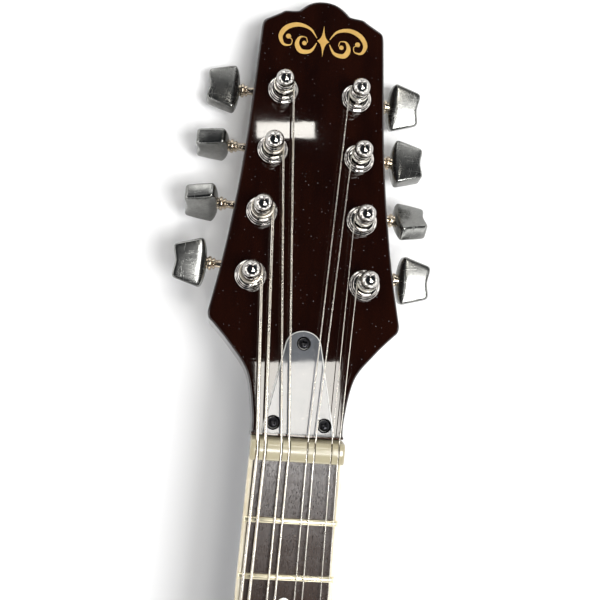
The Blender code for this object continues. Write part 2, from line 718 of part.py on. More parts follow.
def build_tuner_plate(label, side):
    """One strip that carries four gears, with a pair of bearing lugs for each worm."""
    lean = POST_X_STEP / POST_PITCH
    first, last = -9.0, POST_PITCH * 3 + 15.0
    base = POST_X
    strip = [(side * (base + lean * y + dx), POST_Y + y)
             for y, dx in ((first, -6.8), (first, 6.8), (last, 6.8), (last, -6.8))]
    plate = settle(outline_solid(f"{label}_tuner_plate", strip, PLATE_THICKNESS, "chrome"))
    middle = PLATE_TOP - PLATE_THICKNESS / 2
    plate.location.z = middle * MM
    lugs, bores = [], []
    for number in range(TUNERS_A_SIDE):
        x, y = post_place(side, number)
        worm_y = y + WORM_OFFSET
        for inner, outer in LUG_SPANS:
            low_x, high_x = sorted((x + side * inner, x + side * outer))
            lugs.append(box(f"{label}_lug_{number}_{inner}", (low_x, worm_y - 3.2, WORM_DEPTH - 3.2),
                            (high_x, worm_y + 3.2, middle)))
        bores.append(bore_for_worm(label, x, worm_y, number))
        post_bore = rod(f"{label}_plate_bore_{number}", POST_RADIUS + 0.35, -25, -8, sides=16,
                        collection=CUTTERS)
        place(post_bore, HEAD_FRAME, (x, y, 0))
        bores.append(post_bore)
    plate = combine(plate, lugs, "UNION")
    place(plate, HEAD_FRAME, plate.location / MM)
    combine(plate, bores, "DIFFERENCE")


def bore_for_worm(label, x, y, number):
    bore = rod(f"{label}_worm_bore_{number}", WORM_SHAFT_RADIUS + 0.35, -8.0, 8.0, sides=12, axis="X",
               collection=CUTTERS)
    place(bore, HEAD_FRAME, (x, y, WORM_DEPTH))
    return bore


def build_tuner(label, side, number):
    x, y = post_place(side, number)
    name = f"{label}_{number + 1}"
    bushing = settle(turned(f"{name}_bushing", (
        (3.4, 3.0), (4.2, 2.7), (4.6, 1.9), (5.4, 1.2), (5.5, GAP), (4.25, GAP), (4.25, -11.0),
        (3.4, -11.0), (3.4, 3.0)), "chrome", 14))
    place(bushing, HEAD_FRAME, (x, y, 0))
    gear_top = PLATE_TOP - PLATE_THICKNESS - GAP
    post = settle(turned(f"{name}_post", (
        (0, POST_TOP), (1.8, 12.3), (3.0, 11.2), (3.3, 9.9), (2.9, 8.8), (2.3, 8.0), (2.3, 7.3),
        (POST_RADIUS, 6.6), (POST_RADIUS, gear_top), (GEAR_RADIUS, gear_top),
        (GEAR_RADIUS, gear_top - 3.0), (1.9, gear_top - 3.0), (1.7, gear_top - 3.9),
        (0, gear_top - 4.0)), "chrome", 12))
    place(post, HEAD_FRAME, (x, y, 0))
    build_button(f"{name}_button", side, (x, y + WORM_OFFSET, WORM_DEPTH), BUTTON_TURNS[label][number])


def build_button(name, side, location, turn):
    """Worm shaft and its button in one; the shaft is turned along +X from the post's side."""
    profile = ((0, BUTTON_START + 2), (2.2, BUTTON_START + 2), (2.2, BUTTON_START - 1.2),
               (2.6, BUTTON_START - 1.4), (2.6, BUTTON_START - 2.2), (1.8, BUTTON_START - 2.6),
               (2.1, BUTTON_START - 2.9), (2.1, BUTTON_START - 3.5), (1.7, BUTTON_START - 4.1),
               (WORM_SHAFT_RADIUS, 10.5), (WORM_SHAFT_RADIUS, 4.4), (WORM_RADIUS, 4.4), (WORM_RADIUS, -4.4),
               (WORM_SHAFT_RADIUS, -4.4), (WORM_SHAFT_RADIUS, -7.0), (0, -7.0))
    shaft = settle(turned(name, profile, "nickel", 10))
    grip = settle(outline_solid(name + "_grip", mirrored_across(BUTTON_HALF), BUTTON_THICKNESS, bevel=1.1))
    grip.matrix_local = (Matrix.Translation((0, 0, BUTTON_START * MM))
                         @ Matrix.Rotation(math.radians(-90), 4, "Y"))
    shaft = combine(shaft, [grip], "UNION")
    mesh = shaft.data
    mesh.transform(Matrix.Rotation(math.radians(90), 4, "Y"))
    if side < 0:
        mesh.transform(Matrix.Rotation(math.pi, 4, "Z"))
    place(shaft, HEAD_FRAME, location, (math.radians(turn), 0, 0))


def mirrored_across(half):
    """Close a half outline over the line Y = 0."""
    return [*half, *((x, -y) for x, y in reversed(half) if y > 0.01)]


# ---------------------------------------------------------------- bridge

def build_bridge_base():
    """Footed base that follows the carved top."""
    y = SADDLE_POINT.y
    rings = []
    for i in range(17):
        x = -BRIDGE_HALF_LENGTH + 2 * BRIDGE_HALF_LENGTH * i / 16
        low = max(top_height(x, y - BRIDGE_WIDTH / 2), top_height(x, y + BRIDGE_WIDTH / 2)) + GAP + 0.15
        share = min(1.0, max(0.0, (BRIDGE_HALF_LENGTH - abs(x)) / 16.0))
        high = low + 2.5 + (BASE_TOP - low - 2.5) * math.sin(share * math.pi / 2)
        half = BRIDGE_WIDTH / 2
        rings.append([(x, y - half, low), (x, y + half, low), (x, y + half, high - 1.2),
                      (x, y + half - 2.5, high), (x, y - half + 2.5, high), (x, y - half, high - 1.2)])
    base = loft("bridge_base", rings, "rosewood")
    holes = [stud_hole(f"base_stud_hole_{side}", side, BASE_TOP - 4.6, BASE_TOP + 5) for side in (-1, 1)]
    combine(base, holes, "DIFFERENCE")


def stud_hole(name, side, low, high):
    hole = rod(name, STUD_RADIUS + 0.35, low, high, sides=12, collection=CUTTERS)
    place(hole, None, (side * STUD_X, SADDLE_POINT.y, 0))
    return hole


def build_bridge_saddle():
    y = SADDLE_POINT.y
    low = SADDLE_TOP - SADDLE_HEIGHT
    rings = []
    for x, drop in ((-SADDLE_HALF_LENGTH, 3.2), (-SADDLE_HALF_LENGTH + 8, 0.6), (-24, 0), (24, 0),
                    (SADDLE_HALF_LENGTH - 8, 0.6), (SADDLE_HALF_LENGTH, 3.2)):
        high = SADDLE_TOP - drop
        rings.append([(x, y - 3.5, low), (x, y + 3.5, low), (x, y + 3.3, low + 3.0),
                      (x, y + 0.9, high - 0.3), (x, y + 0.3, high), (x, y - 0.9, high - 0.3),
                      (x, y - 3.3, low + 3.0)])
    saddle = loft("bridge_saddle", rings, "rosewood")
    holes = [stud_hole(f"saddle_stud_hole_{side}", side, low - 3, low + 5.4) for side in (-1, 1)]
    combine(saddle, holes, "DIFFERENCE")


def build_bridge_screws(label, side):
    low = SADDLE_TOP - SADDLE_HEIGHT
    stud = rod(f"{label}_bridge_stud", STUD_RADIUS, BASE_TOP - 4.2, low + 3.4, "brass", sides=12)
    place(stud, None, (side * STUD_X, SADDLE_POINT.y, 0))
    high = low - GAP
    edge = 0.5
    wheel = settle(turned(f"{label}_thumbwheel", (
        (STUD_RADIUS + 0.35, high), (WHEEL_RADIUS - edge, high), (WHEEL_RADIUS, high - edge),
        (WHEEL_RADIUS, high - WHEEL_THICKNESS + edge), (WHEEL_RADIUS - edge, high - WHEEL_THICKNESS),
        (STUD_RADIUS + 0.35, high - WHEEL_THICKNESS), (STUD_RADIUS + 0.35, high)), "brass", 20))
    place(wheel, None, (side * STUD_X, SADDLE_POINT.y, 0))


# ---------------------------------------------------------------- tailpiece and strings

def build_tailpiece():
    """Plate on the top with a flange down the tail, and the bar that the strings hook on."""
    plate = box("tailpiece", (-TAIL_HALF_WIDTH, -1.5, 0), (TAIL_HALF_WIDTH, TAIL_LENGTH, 1.5), "chrome")
    bar = box("hook_bar", (-TAIL_HALF_WIDTH + 0.5, HOOK_BAR_Y - 4.0, 1.0),
              (TAIL_HALF_WIDTH - 0.5, HOOK_BAR_Y, 5.2))
    plate = combine(plate, [bar], "UNION")
    place(plate, None, TAIL_ORIGIN, (TAIL_SLOPE, 0, 0))
    flange = box("flange", (-TAIL_HALF_WIDTH, -BODY_HALF_LENGTH - 1.8, 33.0),
                 (TAIL_HALF_WIDTH, -BODY_HALF_LENGTH - 0.4, TOP_EDGE + 1.9))
    combine(plate, [flange], "UNION")


def build_tailpiece_cover():
    """A channel that slides on over the plate from the tail."""
    inner, outer, roof = TAIL_HALF_WIDTH + 0.5, TAIL_HALF_WIDTH + 1.7, 7.0
    round_corner = bezier((outer, roof), (outer, roof + 1.2), (outer - 0.2, roof + 1.4),
                          (inner - 0.4, roof + 1.4), 3)
    half = [(inner, roof), (inner, 0.0), (outer, 0.0), *round_corner, (0.0, roof + 1.9)]
    inside = [(0.0, roof)]
    outline = half + [(-x, z) for x, z in reversed(half) if x > 0.01] + inside
    cover = settle(outline_solid("tailpiece_cover", outline, TAIL_LENGTH + 6.0, "chrome"))
    cover.data.transform(Matrix.Rotation(math.pi / 2, 4, "X"))
    cover.data.transform(Matrix.Translation((0, (TAIL_LENGTH / 2) * MM, 0)))
    place(cover, None, TAIL_ORIGIN, (TAIL_SLOPE, 0, 0))


def string_post(number):
    """The side and the number of the post that a string winds on."""
    if number < TUNERS_A_SIDE:
        return -1, number
    return 1, 2 * TUNERS_A_SIDE - 1 - number


def string_route(number):
    """World points of a string, from the tailpiece over bridge and nut to its post."""
    nut_x, bridge_x, tail_x, radius = STRINGS[number]
    side, post = string_post(number)
    post_x, post_y = post_place(side, post)
    leave_x = post_x - side * (POST_RADIUS + radius + GAP)
    at_nut = STRING_AT_NUT + radius
    slope = (STRING_AT_BRIDGE - STRING_AT_NUT) / SCALE_LENGTH
    return [TAIL @ Vector((tail_x, HOOK_BAR_Y + GAP, 3.4)),
            BOARD @ Vector((bridge_x, -SCALE_LENGTH, STRING_AT_BRIDGE + radius)),
            BOARD @ Vector((nut_x, 0.0, at_nut)),
            BOARD @ Vector((nut_x, NUT_LENGTH / 2, at_nut - slope * NUT_LENGTH / 2)),
            HEAD @ Vector((leave_x, post_y, STRING_AT_POST))]


def build_strings():
    seen = {}
    for number, letter in enumerate(STRING_NAMES):
        seen[letter] = seen.get(letter, 0) + 1
        material = "bronze" if letter in "gd" else "steel"
        tube(f"string_{letter}{seen[letter]}", string_route(number), STRINGS[number][3], material)


# ---------------------------------------------------------------- the whole

def build():
    build_back_plate()
    build_side("bass_side", -1)
    build_side("treble_side", 1)
    build_soundboard()
    build_blocks()
    build_tone_bar("bass_tone_bar", -1)
    build_tone_bar("treble_tone_bar", 1)
    build_end_pin()
    build_neck()
    build_fingerboard()
    build_nut()
    build_truss_rod()
    build_truss_rod_cover()
    build_bridge_base()
    build_bridge_saddle()
    build_tailpiece()
    build_tailpiece_cover()
    build_strings()
    for label, side in (("bass", -1), ("treble", 1)):
        build_bridge_screws(label, side)
        build_tuner_plate(label, side)
        for number in range(TUNERS_A_SIDE):
            build_tuner(label, side, number)


clear_scene()
PARTS = make_collection("mandolin")
CUTTERS = make_collection("cutters")
BOARD_FRAME = make_empty("board_frame", BOARD)
HEAD_FRAME = make_empty("head_frame", frame_matrix(HEAD_START, -HEAD_ANGLE), BOARD_FRAME)
bpy.context.view_layer.update()
build()
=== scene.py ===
"""Eight-string mandolin lying on its back: the fine pieces, their finishes and the studio round them.

Lengths are in millimetres unless a name says otherwise.  Pieces are shaped in a frame of their own
(fingerboard, headstock, tailpiece or body) and set down in metres in the model's frame.
"""

import json
import logging
import math
from dataclasses import dataclass, field
from enum import Enum
from functools import cache

import bmesh
import bpy
from bmesh.types import BMesh
from bpy.types import Material, Node, NodeSocket, NodeTree, Object
from mathutils import Matrix, Vector


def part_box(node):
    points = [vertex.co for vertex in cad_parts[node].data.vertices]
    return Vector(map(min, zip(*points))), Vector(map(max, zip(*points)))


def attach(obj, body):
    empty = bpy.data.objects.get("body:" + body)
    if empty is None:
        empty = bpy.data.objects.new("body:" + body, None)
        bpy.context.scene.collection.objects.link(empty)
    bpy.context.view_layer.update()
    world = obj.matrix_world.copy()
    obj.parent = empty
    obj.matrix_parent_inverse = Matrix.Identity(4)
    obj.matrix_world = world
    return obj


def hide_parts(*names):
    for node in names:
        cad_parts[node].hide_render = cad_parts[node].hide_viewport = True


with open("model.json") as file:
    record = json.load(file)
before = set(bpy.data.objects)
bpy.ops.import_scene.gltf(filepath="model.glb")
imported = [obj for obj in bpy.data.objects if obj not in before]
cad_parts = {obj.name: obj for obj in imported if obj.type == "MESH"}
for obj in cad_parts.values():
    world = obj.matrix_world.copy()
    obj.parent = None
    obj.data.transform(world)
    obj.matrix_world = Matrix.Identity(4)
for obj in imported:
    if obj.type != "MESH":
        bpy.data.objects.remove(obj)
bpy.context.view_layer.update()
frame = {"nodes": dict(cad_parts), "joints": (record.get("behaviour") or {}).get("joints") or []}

MM = 0.001
DOTTED_FRETS = (3, 5, 7, 10, 12, 15)
LOG = logging.getLogger("mandolin")

Point = tuple[float, ...]
Colour = tuple[float, float, float]


class Side(Enum):
    """The two halves of the instrument, seen from its front."""

    BASS = -1
    TREBLE = 1

    @property
    def label(self) -> str:
        """Name that the pieces of this side start with."""
        return self.name.lower()


# ------------------------------------------------------------------ lines and outlines


def bezier(start: Point, handle_a: Point, handle_b: Point, end: Point, steps: int) -> list[Point]:
    """Points along a cubic curve.

    Args:
        start, handle_a, handle_b, end: the curve's four control points.
        steps: how many points to give; the last one of the curve is left out.

    Returns:
        The points, the first of them at start.
    """
    line = []
    for i in range(steps):
        t = i / steps
        weights = ((1 - t) ** 3, 3 * t * (1 - t) ** 2, 3 * t * t * (1 - t), t**3)
        controls = zip(start, handle_a, handle_b, end)
        line.append(tuple(sum(w * c for w, c in zip(weights, axis)) for axis in controls))
    return line


def through(points: list[Point], steps: int) -> list[Point]:
    """A smooth line through given points.

    Args:
        points: the points, of any number of dimensions.
        steps: pieces that each stretch between two points is cut into.

    Returns:
        The line's points, with the last given one.
    """
    padded = [points[0], *points, points[-1]]
    line = []
    for before, start, end, after in zip(padded, padded[1:], padded[2:], padded[3:]):
        for i in range(steps):
            t = i / steps
            line.append(tuple(
                0.5 * (2 * s + (e - b) * t + (2 * b - 5 * s + 4 * e - a) * t * t
                       + (3 * s - b - 3 * e + a) * t**3)
                for b, s, e, a in zip(before, start, end, after)))
    return line + [tuple(points[-1])]


def mirrored(half: list[Point]) -> list[Point]:
    """Close a right-hand half, from its foot to its top, with its mirror over X = 0."""
    return half + [(-x, y) for x, y in reversed(half) if x > 0.01]


def inset(points: list[Point], distance: float) -> list[Point]:
    """Move a closed outline inwards.

    Args:
        points: the outline, anticlockwise.
        distance: how far to move it.

    Returns:
        As many points as were given.
    """
    moved = []
    for before, here, after in zip(points[-1:] + points[:-1], points, points[1:] + points[:1]):
        a = (Vector(here) - Vector(before)).normalized()
        b = (Vector(after) - Vector(here)).normalized()
        normal = Vector((-(a.y + b.y), a.x + b.x)).normalized()
        reach = distance / max(0.3, math.sqrt(max(0.0, (1 + a.dot(b)) / 2)))
        moved.append(tuple(Vector(here) + normal * reach))
    return moved


def toothed(radius: float, depth: float, teeth: int) -> list[Point]:
    """Outline of a wheel with teeth round its edge."""
    outline = []
    for i in range(teeth):
        for share, reach in ((0.0, radius - depth), (0.3, radius - depth), (0.45, radius), (0.85, radius)):
            angle = 2 * math.pi * (i + share) / teeth
            outline.append((reach * math.cos(angle), reach * math.sin(angle)))
    return outline


def helix(radius: float, turns: float, low: float, length: float, steps: int) -> list[Point]:
    """Points along a screw line round Z.

    Args:
        radius: its radius.
        turns: how often it goes round.
        low: where it starts along Z.
        length: how far it climbs.
        steps: pieces that it is cut into.

    Returns:
        The points, one more than the steps.
    """
    return [(radius * math.cos(2 * math.pi * turns * i / steps),
             radius * math.sin(2 * math.pi * turns * i / steps),
             low + length * i / steps) for i in range(steps + 1)]


# ------------------------------------------------------------------ shaping


def slab(outline: list[Point], low: float, high: float, top_round: float = 0.0,
         foot_round: float = 0.0, segments: int = 3) -> BMesh:
    """A flat outline given a thickness, with its rims rounded.

    Args:
        outline: closed outline in X and Y.
        low, high: heights of its two faces.
        top_round, foot_round: how far the upper and lower rims are rounded.
        segments: faces across a rounding.

    Returns:
        The closed solid.
    """
    bm = bmesh.new()
    face = bm.faces.new([bm.verts.new((x, y, low)) for x, y in outline])
    grown = bmesh.ops.extrude_face_region(bm, geom=[face])["geom"]
    lid = [item for item in grown if isinstance(item, bmesh.types.BMVert)]
    bmesh.ops.translate(bm, vec=(0, 0, high - low), verts=lid)
    bmesh.ops.recalc_face_normals(bm, faces=bm.faces)
    for height, amount in ((high, top_round), (low, foot_round)):
        if amount:
            rim = [e for e in bm.edges if all(abs(v.co.z - height) < 1e-5 for v in e.verts)]
            soften(bm, rim, amount, segments)
    return bm


def soften(bm: BMesh, edges: list, amount: float, segments: int = 3) -> None:
    """Round some edges of a solid."""
    bmesh.ops.bevel(bm, geom=edges, offset=amount, offset_type="OFFSET", affect="EDGES",
                    segments=segments, profile=0.5, material=-1, clamp_overlap=False)


def block(low: Point, high: Point, rounding: float = 0.0) -> BMesh:
    """A block between two corners, its edges rounded."""
    bm = bmesh.new()
    bmesh.ops.create_cube(bm, size=1.0)
    low_corner, high_corner = Vector(low), Vector(high)
    bmesh.ops.scale(bm, vec=high_corner - low_corner, verts=bm.verts)
    bmesh.ops.translate(bm, vec=(high_corner + low_corner) / 2, verts=bm.verts)
    if rounding:
        soften(bm, list(bm.edges), rounding, 2)
    return bm


def rod(radius: float, low: float, high: float, sides: int = 32) -> BMesh:
    """A round bar on Z."""
    bm = bmesh.new()
    bmesh.ops.create_cone(bm, cap_ends=True, segments=sides, radius1=radius, radius2=radius,
                          depth=high - low)
    bmesh.ops.translate(bm, vec=(0, 0, (high + low) / 2), verts=bm.verts)
    return bm


def lathe(profile: list[Point], steps: int = 40) -> BMesh:
    """Turn a profile of (radius, height) points about Z.

    Args:
        profile: the points; a closed piece starts and ends on the axis or at the same point.
        steps: faces round the piece.

    Returns:
        The closed solid.
    """
    bm = bmesh.new()
    verts = [bm.verts.new((radius, 0.0, height)) for radius, height in profile]
    edges = [bm.edges.new(pair) for pair in zip(verts, verts[1:])]
    bmesh.ops.spin(bm, geom=verts + edges, cent=(0, 0, 0), axis=(0, 0, 1), angle=2 * math.pi,
                   steps=steps, use_merge=True, use_duplicate=False)
    bmesh.ops.remove_doubles(bm, verts=bm.verts, dist=1e-4)
    bmesh.ops.recalc_face_normals(bm, faces=bm.faces)
    return bm


def loft(rings: list[list[Point]]) -> BMesh:
    """A closed solid through rings of equally many points."""
    bm = bmesh.new()
    loops = []
    for ring in rings:
        verts = [bm.verts.new(point) for point in ring]
        loops.append([bm.edges.new(pair) for pair in zip(verts, verts[1:] + verts[:1])])
    for first, second in zip(loops, loops[1:]):
        bmesh.ops.bridge_loops(bm, edges=first + second)
    for end in (loops[0], loops[-1]):
        bmesh.ops.contextual_create(bm, geom=end)
    bmesh.ops.recalc_face_normals(bm, faces=bm.faces)
    return bm


def prism(points: list[Point], along: Point) -> BMesh:
    """A flat polygon in space, pushed along a direction."""
    bm = bmesh.new()
    face = bm.faces.new([bm.verts.new(point) for point in points])
    grown = bmesh.ops.extrude_face_region(bm, geom=[face])["geom"]
    lid = [item for item in grown if isinstance(item, bmesh.types.BMVert)]
    bmesh.ops.translate(bm, vec=along, verts=lid)
    bmesh.ops.recalc_face_normals(bm, faces=bm.faces)
    return bm


def wire(points: list[Point], radius: float, fineness: int = 2) -> BMesh:
    """A round wire along a line of points.

    Args:
        points: the wire's middle line.
        radius: its radius.
        fineness: how finely its roundness is cut.

    Returns:
        The closed tube.
    """
    curve = bpy.data.curves.new("wire", "CURVE")
    curve.dimensions = "3D"
    curve.bevel_depth = radius
    curve.bevel_resolution = fineness
    curve.use_fill_caps = True
    spline = curve.splines.new("POLY")
    spline.points.add(len(points) - 1)
    for point, spot in zip(spline.points, points):
        point.co = (*spot, 1.0)
    obj = bpy.data.objects.new("wire", curve)
    bpy.context.scene.collection.objects.link(obj)
    bm = settled(obj)
    bpy.data.objects.remove(obj, do_unlink=True)
    bmesh.ops.remove_doubles(bm, verts=bm.verts, dist=1e-4)
    bmesh.ops.recalc_face_normals(bm, faces=bm.faces)
    return bm


def settled(obj: Object) -> BMesh:
    """The mesh that an object's curve or modifiers make."""
    graph = bpy.context.evaluated_depsgraph_get()
    mesh = bpy.data.meshes.new_from_object(obj.evaluated_get(graph))
    bm = bmesh.new()
    bm.from_mesh(mesh)
    bpy.data.meshes.remove(mesh)
    return bm


def carve(blank: BMesh, tools: list[BMesh], operation: str = "DIFFERENCE") -> BMesh:
    """Cut tools out of a blank, or join them to it.

    Args:
        blank: the solid to work on; it is used up.
        tools: the solids to cut with or to join; they are used up.
        operation: DIFFERENCE or UNION.

    Returns:
        The new solid.
    """
    drafts = []
    for bm in [blank, *tools]:
        mesh = bpy.data.meshes.new("draft")
        bm.to_mesh(mesh)
        bm.free()
        drafts.append(bpy.data.objects.new("draft", mesh))
        bpy.context.scene.collection.objects.link(drafts[-1])
    for tool in drafts[1:]:
        cut = drafts[0].modifiers.new("cut", "BOOLEAN")
        cut.operation, cut.solver, cut.object = operation, "EXACT", tool
    result = settled(drafts[0])
    for draft in drafts:
        bpy.data.objects.remove(draft, do_unlink=True)
    bmesh.ops.remove_doubles(result, verts=result.verts, dist=1e-4)
    bmesh.ops.dissolve_degenerate(result, edges=result.edges, dist=1e-4)
    return result


def moved(bm: BMesh, place: Matrix) -> BMesh:
    """Move a solid, and turn its faces out again if the move mirrored it."""
    bmesh.ops.transform(bm, matrix=place, verts=bm.verts)
    if place.determinant() < 0:
        bmesh.ops.reverse_faces(bm, faces=bm.faces)
    return bm


def together(solids: list[BMesh]) -> BMesh:
    """Several separate solids as one mesh."""
    whole = bmesh.new()
    for bm in solids:
        mesh = bpy.data.meshes.new("part")
        bm.to_mesh(mesh)
        bm.free()
        whole.from_mesh(mesh)
        bpy.data.meshes.remove(mesh)
    return whole


def at(x: float, y: float, z: float = 0.0) -> Matrix:
    """A plain shift."""
    return Matrix.Translation((x, y, z))


def turn(degrees: float, axis: str) -> Matrix:
    """A plain turn about an axis."""
    return Matrix.Rotation(math.radians(degrees), 4, axis)


# ------------------------------------------------------------------ shader effects


def rgba(colour: Colour) -> tuple[float, float, float, float]:
    """A colour with full cover."""
    return (*colour, 1.0)


class Bench:
    """Lays nodes in one node tree, a material's or a group's."""

    def __init__(self, tree: NodeTree) -> None:
        """Work on this tree."""
        self.tree = tree

    def lay(self, kind: str, feeds: dict | None = None, **settings: object) -> Node:
        """Add a node.

        Args:
            kind: the node's type name.
            feeds: sockets or values for its inputs, by name or number.
            **settings: properties of the node.

        Returns:
            The node.
        """
        node = self.tree.nodes.new(kind)
        for key, value in settings.items():
            setattr(node, key, value)
        for key, value in (feeds or {}).items():
            self.feed(node.inputs[key], value)
        return node

    def feed(self, socket: NodeSocket, value: object) -> None:
        """Link a socket to another one, or set its value."""
        if isinstance(value, NodeSocket):
            self.tree.links.new(value, socket)
        else:
            socket.default_value = value

    def sum(self, operation: str, first: object, second: object = 0.0) -> NodeSocket:
        """One step of arithmetic."""
        return self.lay("ShaderNodeMath", {0: first, 1: second}, operation=operation).outputs[0]

    def span(self, value: object, low: float, high: float, to_low: float = 0.0,
             to_high: float = 1.0) -> NodeSocket:
        """Stretch a value from one range to another."""
        feeds = {"Value": value, "From Min": low, "From Max": high, "To Min": to_low, "To Max": to_high}
        return self.lay("ShaderNodeMapRange", feeds).outputs[0]

    def blend(self, share: object, first: object, second: object) -> NodeSocket:
        """Mix two colours."""
        return self.lay("ShaderNodeMix", {0: share, 6: first, 7: second}, data_type="RGBA").outputs[2]

    def noise(self, place: object, scale: object, detail: float = 3.0, rough: float = 0.5) -> NodeSocket:
        """Cloudy noise from 0 to 1."""
        feeds = {"Vector": place, "Scale": scale, "Detail": detail, "Roughness": rough}
        return self.lay("ShaderNodeTexNoise", feeds).outputs[0]

    def stretched(self, place: object, scale: Point, rotation: Point = (0, 0, 0)) -> NodeSocket:
        """A place with its axes scaled and turned."""
        feeds = {"Vector": place, "Scale": scale, "Rotation": rotation}
        return self.lay("ShaderNodeMapping", feeds).outputs[0]

    def bump(self, height: object, strength: float, distance: float) -> NodeSocket:
        """A normal from a height; distance is in metres."""
        feeds = {"Height": height, "Strength": strength, "Distance": distance}
        return self.lay("ShaderNodeBump", feeds).outputs[0]

    def use(self, group: NodeTree, place: NodeSocket, **values: float) -> Node:
        """Place a shared group.

        Args:
            group: the group.
            place: the coordinates that its pattern follows.
            **values: its other inputs, by name.

        Returns:
            The group's node.
        """
        return self.lay("ShaderNodeGroup", {"Place": place, **values}, node_tree=group)

    def object_place(self) -> NodeSocket:
        """The object's own coordinates, in metres."""
        return self.lay("ShaderNodeTexCoord").outputs["Object"]


class Effects:
    """Shader node groups that several finishes share, each built once."""

    @classmethod
    def build(cls, name: str, inputs: dict[str, float | None],
              outputs: list[str]) -> tuple[Bench, Node, Node]:
        """Start a group.

        Args:
            name: the group's name.
            inputs: its inputs and their first values; None makes a vector input.
            outputs: names of its value outputs.

        Returns:
            The bench to lay its nodes with, its input node and its output node.
        """
        tree = bpy.data.node_groups.new(name, "ShaderNodeTree")
        for key, value in inputs.items():
            kind = "NodeSocketVector" if value is None else "NodeSocketFloat"
            socket = tree.interface.new_socket(name=key, in_out="INPUT", socket_type=kind)
            if value is not None:
                socket.default_value = value
        for key in outputs:
            tree.interface.new_socket(name=key, in_out="OUTPUT", socket_type="NodeSocketFloat")
        bench = Bench(tree)
        return bench, bench.lay("NodeGroupInput"), bench.lay("NodeGroupOutput")

    @classmethod
    @cache
    def grain(cls) -> NodeTree:
        """Wood grain: long streaks and short pores, running along Y."""
        bench, given, result = cls.build("wood grain", {"Place": None, "Fineness": 300.0},
                                         ["Streaks", "Pores"])
        place, fineness = given.outputs["Place"], given.outputs["Fineness"]
        wander = bench.noise(place, 14.0, 2.0)
        bent = bench.lay("ShaderNodeVectorMath", {0: place}, operation="ADD")
        shift = bench.lay("ShaderNodeCombineXYZ", {"X": bench.sum("MULTIPLY", wander, 0.004)})
        bench.feed(bent.inputs[1], shift.outputs[0])
        streak_place = bench.stretched(bent.outputs[0], (1.0, 0.035, 1.0))
        pore_place = bench.stretched(bent.outputs[0], (1.0, 0.09, 1.0))
        streaks = bench.noise(streak_place, fineness, 4.0, 0.6)
        pores = bench.noise(pore_place, bench.sum("MULTIPLY", fineness, 4.5), 2.0, 0.4)
        bench.feed(result.inputs["Streaks"], bench.span(streaks, 0.32, 0.68))
        bench.feed(result.inputs["Pores"], bench.span(pores, 0.57, 0.68))
        return bench.tree

    @classmethod
    @cache
    def specks(cls) -> NodeTree:
        """Small scattered specks, as of dust."""
        bench, given, result = cls.build(
            "specks", {"Place": None, "Fineness": 700.0, "Size": 0.12, "Share": 0.2}, ["Mask"])
        cells = bench.lay("ShaderNodeTexVoronoi", {
            "Vector": given.outputs["Place"], "Scale": given.outputs["Fineness"]})
        split = bench.lay("ShaderNodeSeparateColor", {0: cells.outputs["Color"]})
        size = bench.sum("MULTIPLY", given.outputs["Size"], bench.span(split.outputs[1], 0, 1, 0.4, 1.4))
        small = bench.sum("LESS_THAN", cells.outputs["Distance"], size)
        chosen = bench.sum("LESS_THAN", split.outputs[0], given.outputs["Share"])
        bench.feed(result.inputs["Mask"], bench.sum("MULTIPLY", small, chosen))
        return bench.tree

    @classmethod
    @cache
    def scratches(cls) -> NodeTree:
        """Hairline scratches in two directions."""
        bench, given, result = cls.build("scratches",
                                         {"Place": None, "Fineness": 120.0, "Width": 0.012}, ["Mask"])
        lines = []
        for rotation, scale in (((0.3, 0.2, 0.9), (1.0, 0.12, 0.6)), ((-0.2, 0.5, -0.7), (0.1, 1.0, 0.7))):
            place = bench.stretched(given.outputs["Place"], scale, rotation)
            cloud = bench.noise(place, given.outputs["Fineness"], 3.0, 0.6)
            near = bench.sum("ABSOLUTE", bench.sum("SUBTRACT", cloud, 0.5))
            lines.append(bench.sum("LESS_THAN", near, given.outputs["Width"]))
        either = bench.sum("MAXIMUM", lines[0], lines[1])
        patchy = bench.span(bench.noise(given.outputs["Place"], 90.0, 2.0), 0.42, 0.6)
        bench.feed(result.inputs["Mask"], bench.sum("MULTIPLY", either, patchy))
        return bench.tree

    @classmethod
    @cache
    def smudge(cls) -> NodeTree:
        """Soft uneven film left by handling."""
        bench, given, result = cls.build(
            "smudge", {"Place": None, "Fineness": 60.0, "Low": 0.0, "High": 1.0}, ["Value"])
        cloud = bench.span(bench.noise(given.outputs["Place"], given.outputs["Fineness"], 5.0, 0.62),
                           0.35, 0.7)
        spread = bench.sum("SUBTRACT", given.outputs["High"], given.outputs["Low"])
        value = bench.sum("ADD", bench.sum("MULTIPLY", cloud, spread), given.outputs["Low"])
        bench.feed(result.inputs["Value"], value)
        return bench.tree

    @classmethod
    @cache
    def edges(cls) -> NodeTree:
        """Where a shape turns sharply outwards: where it wears first, and where finishes paint a highlight on
        their rims.
        """
        bench, given, result = cls.build("worn and highlighted edges",
                                         {"Place": None, "Reach": 0.56, "Fineness": 400.0}, ["Mask"])
        point = bench.lay("ShaderNodeNewGeometry").outputs["Pointiness"]
        ragged = bench.span(bench.noise(given.outputs["Place"], given.outputs["Fineness"]), 0.3, 0.7,
                            -0.02, 0.02)
        above = bench.sum("SUBTRACT", bench.sum("ADD", point, ragged), given.outputs["Reach"])
        bench.feed(result.inputs["Mask"], bench.span(above, 0.0, 0.06))
        return bench.tree


# ------------------------------------------------------------------ finishes


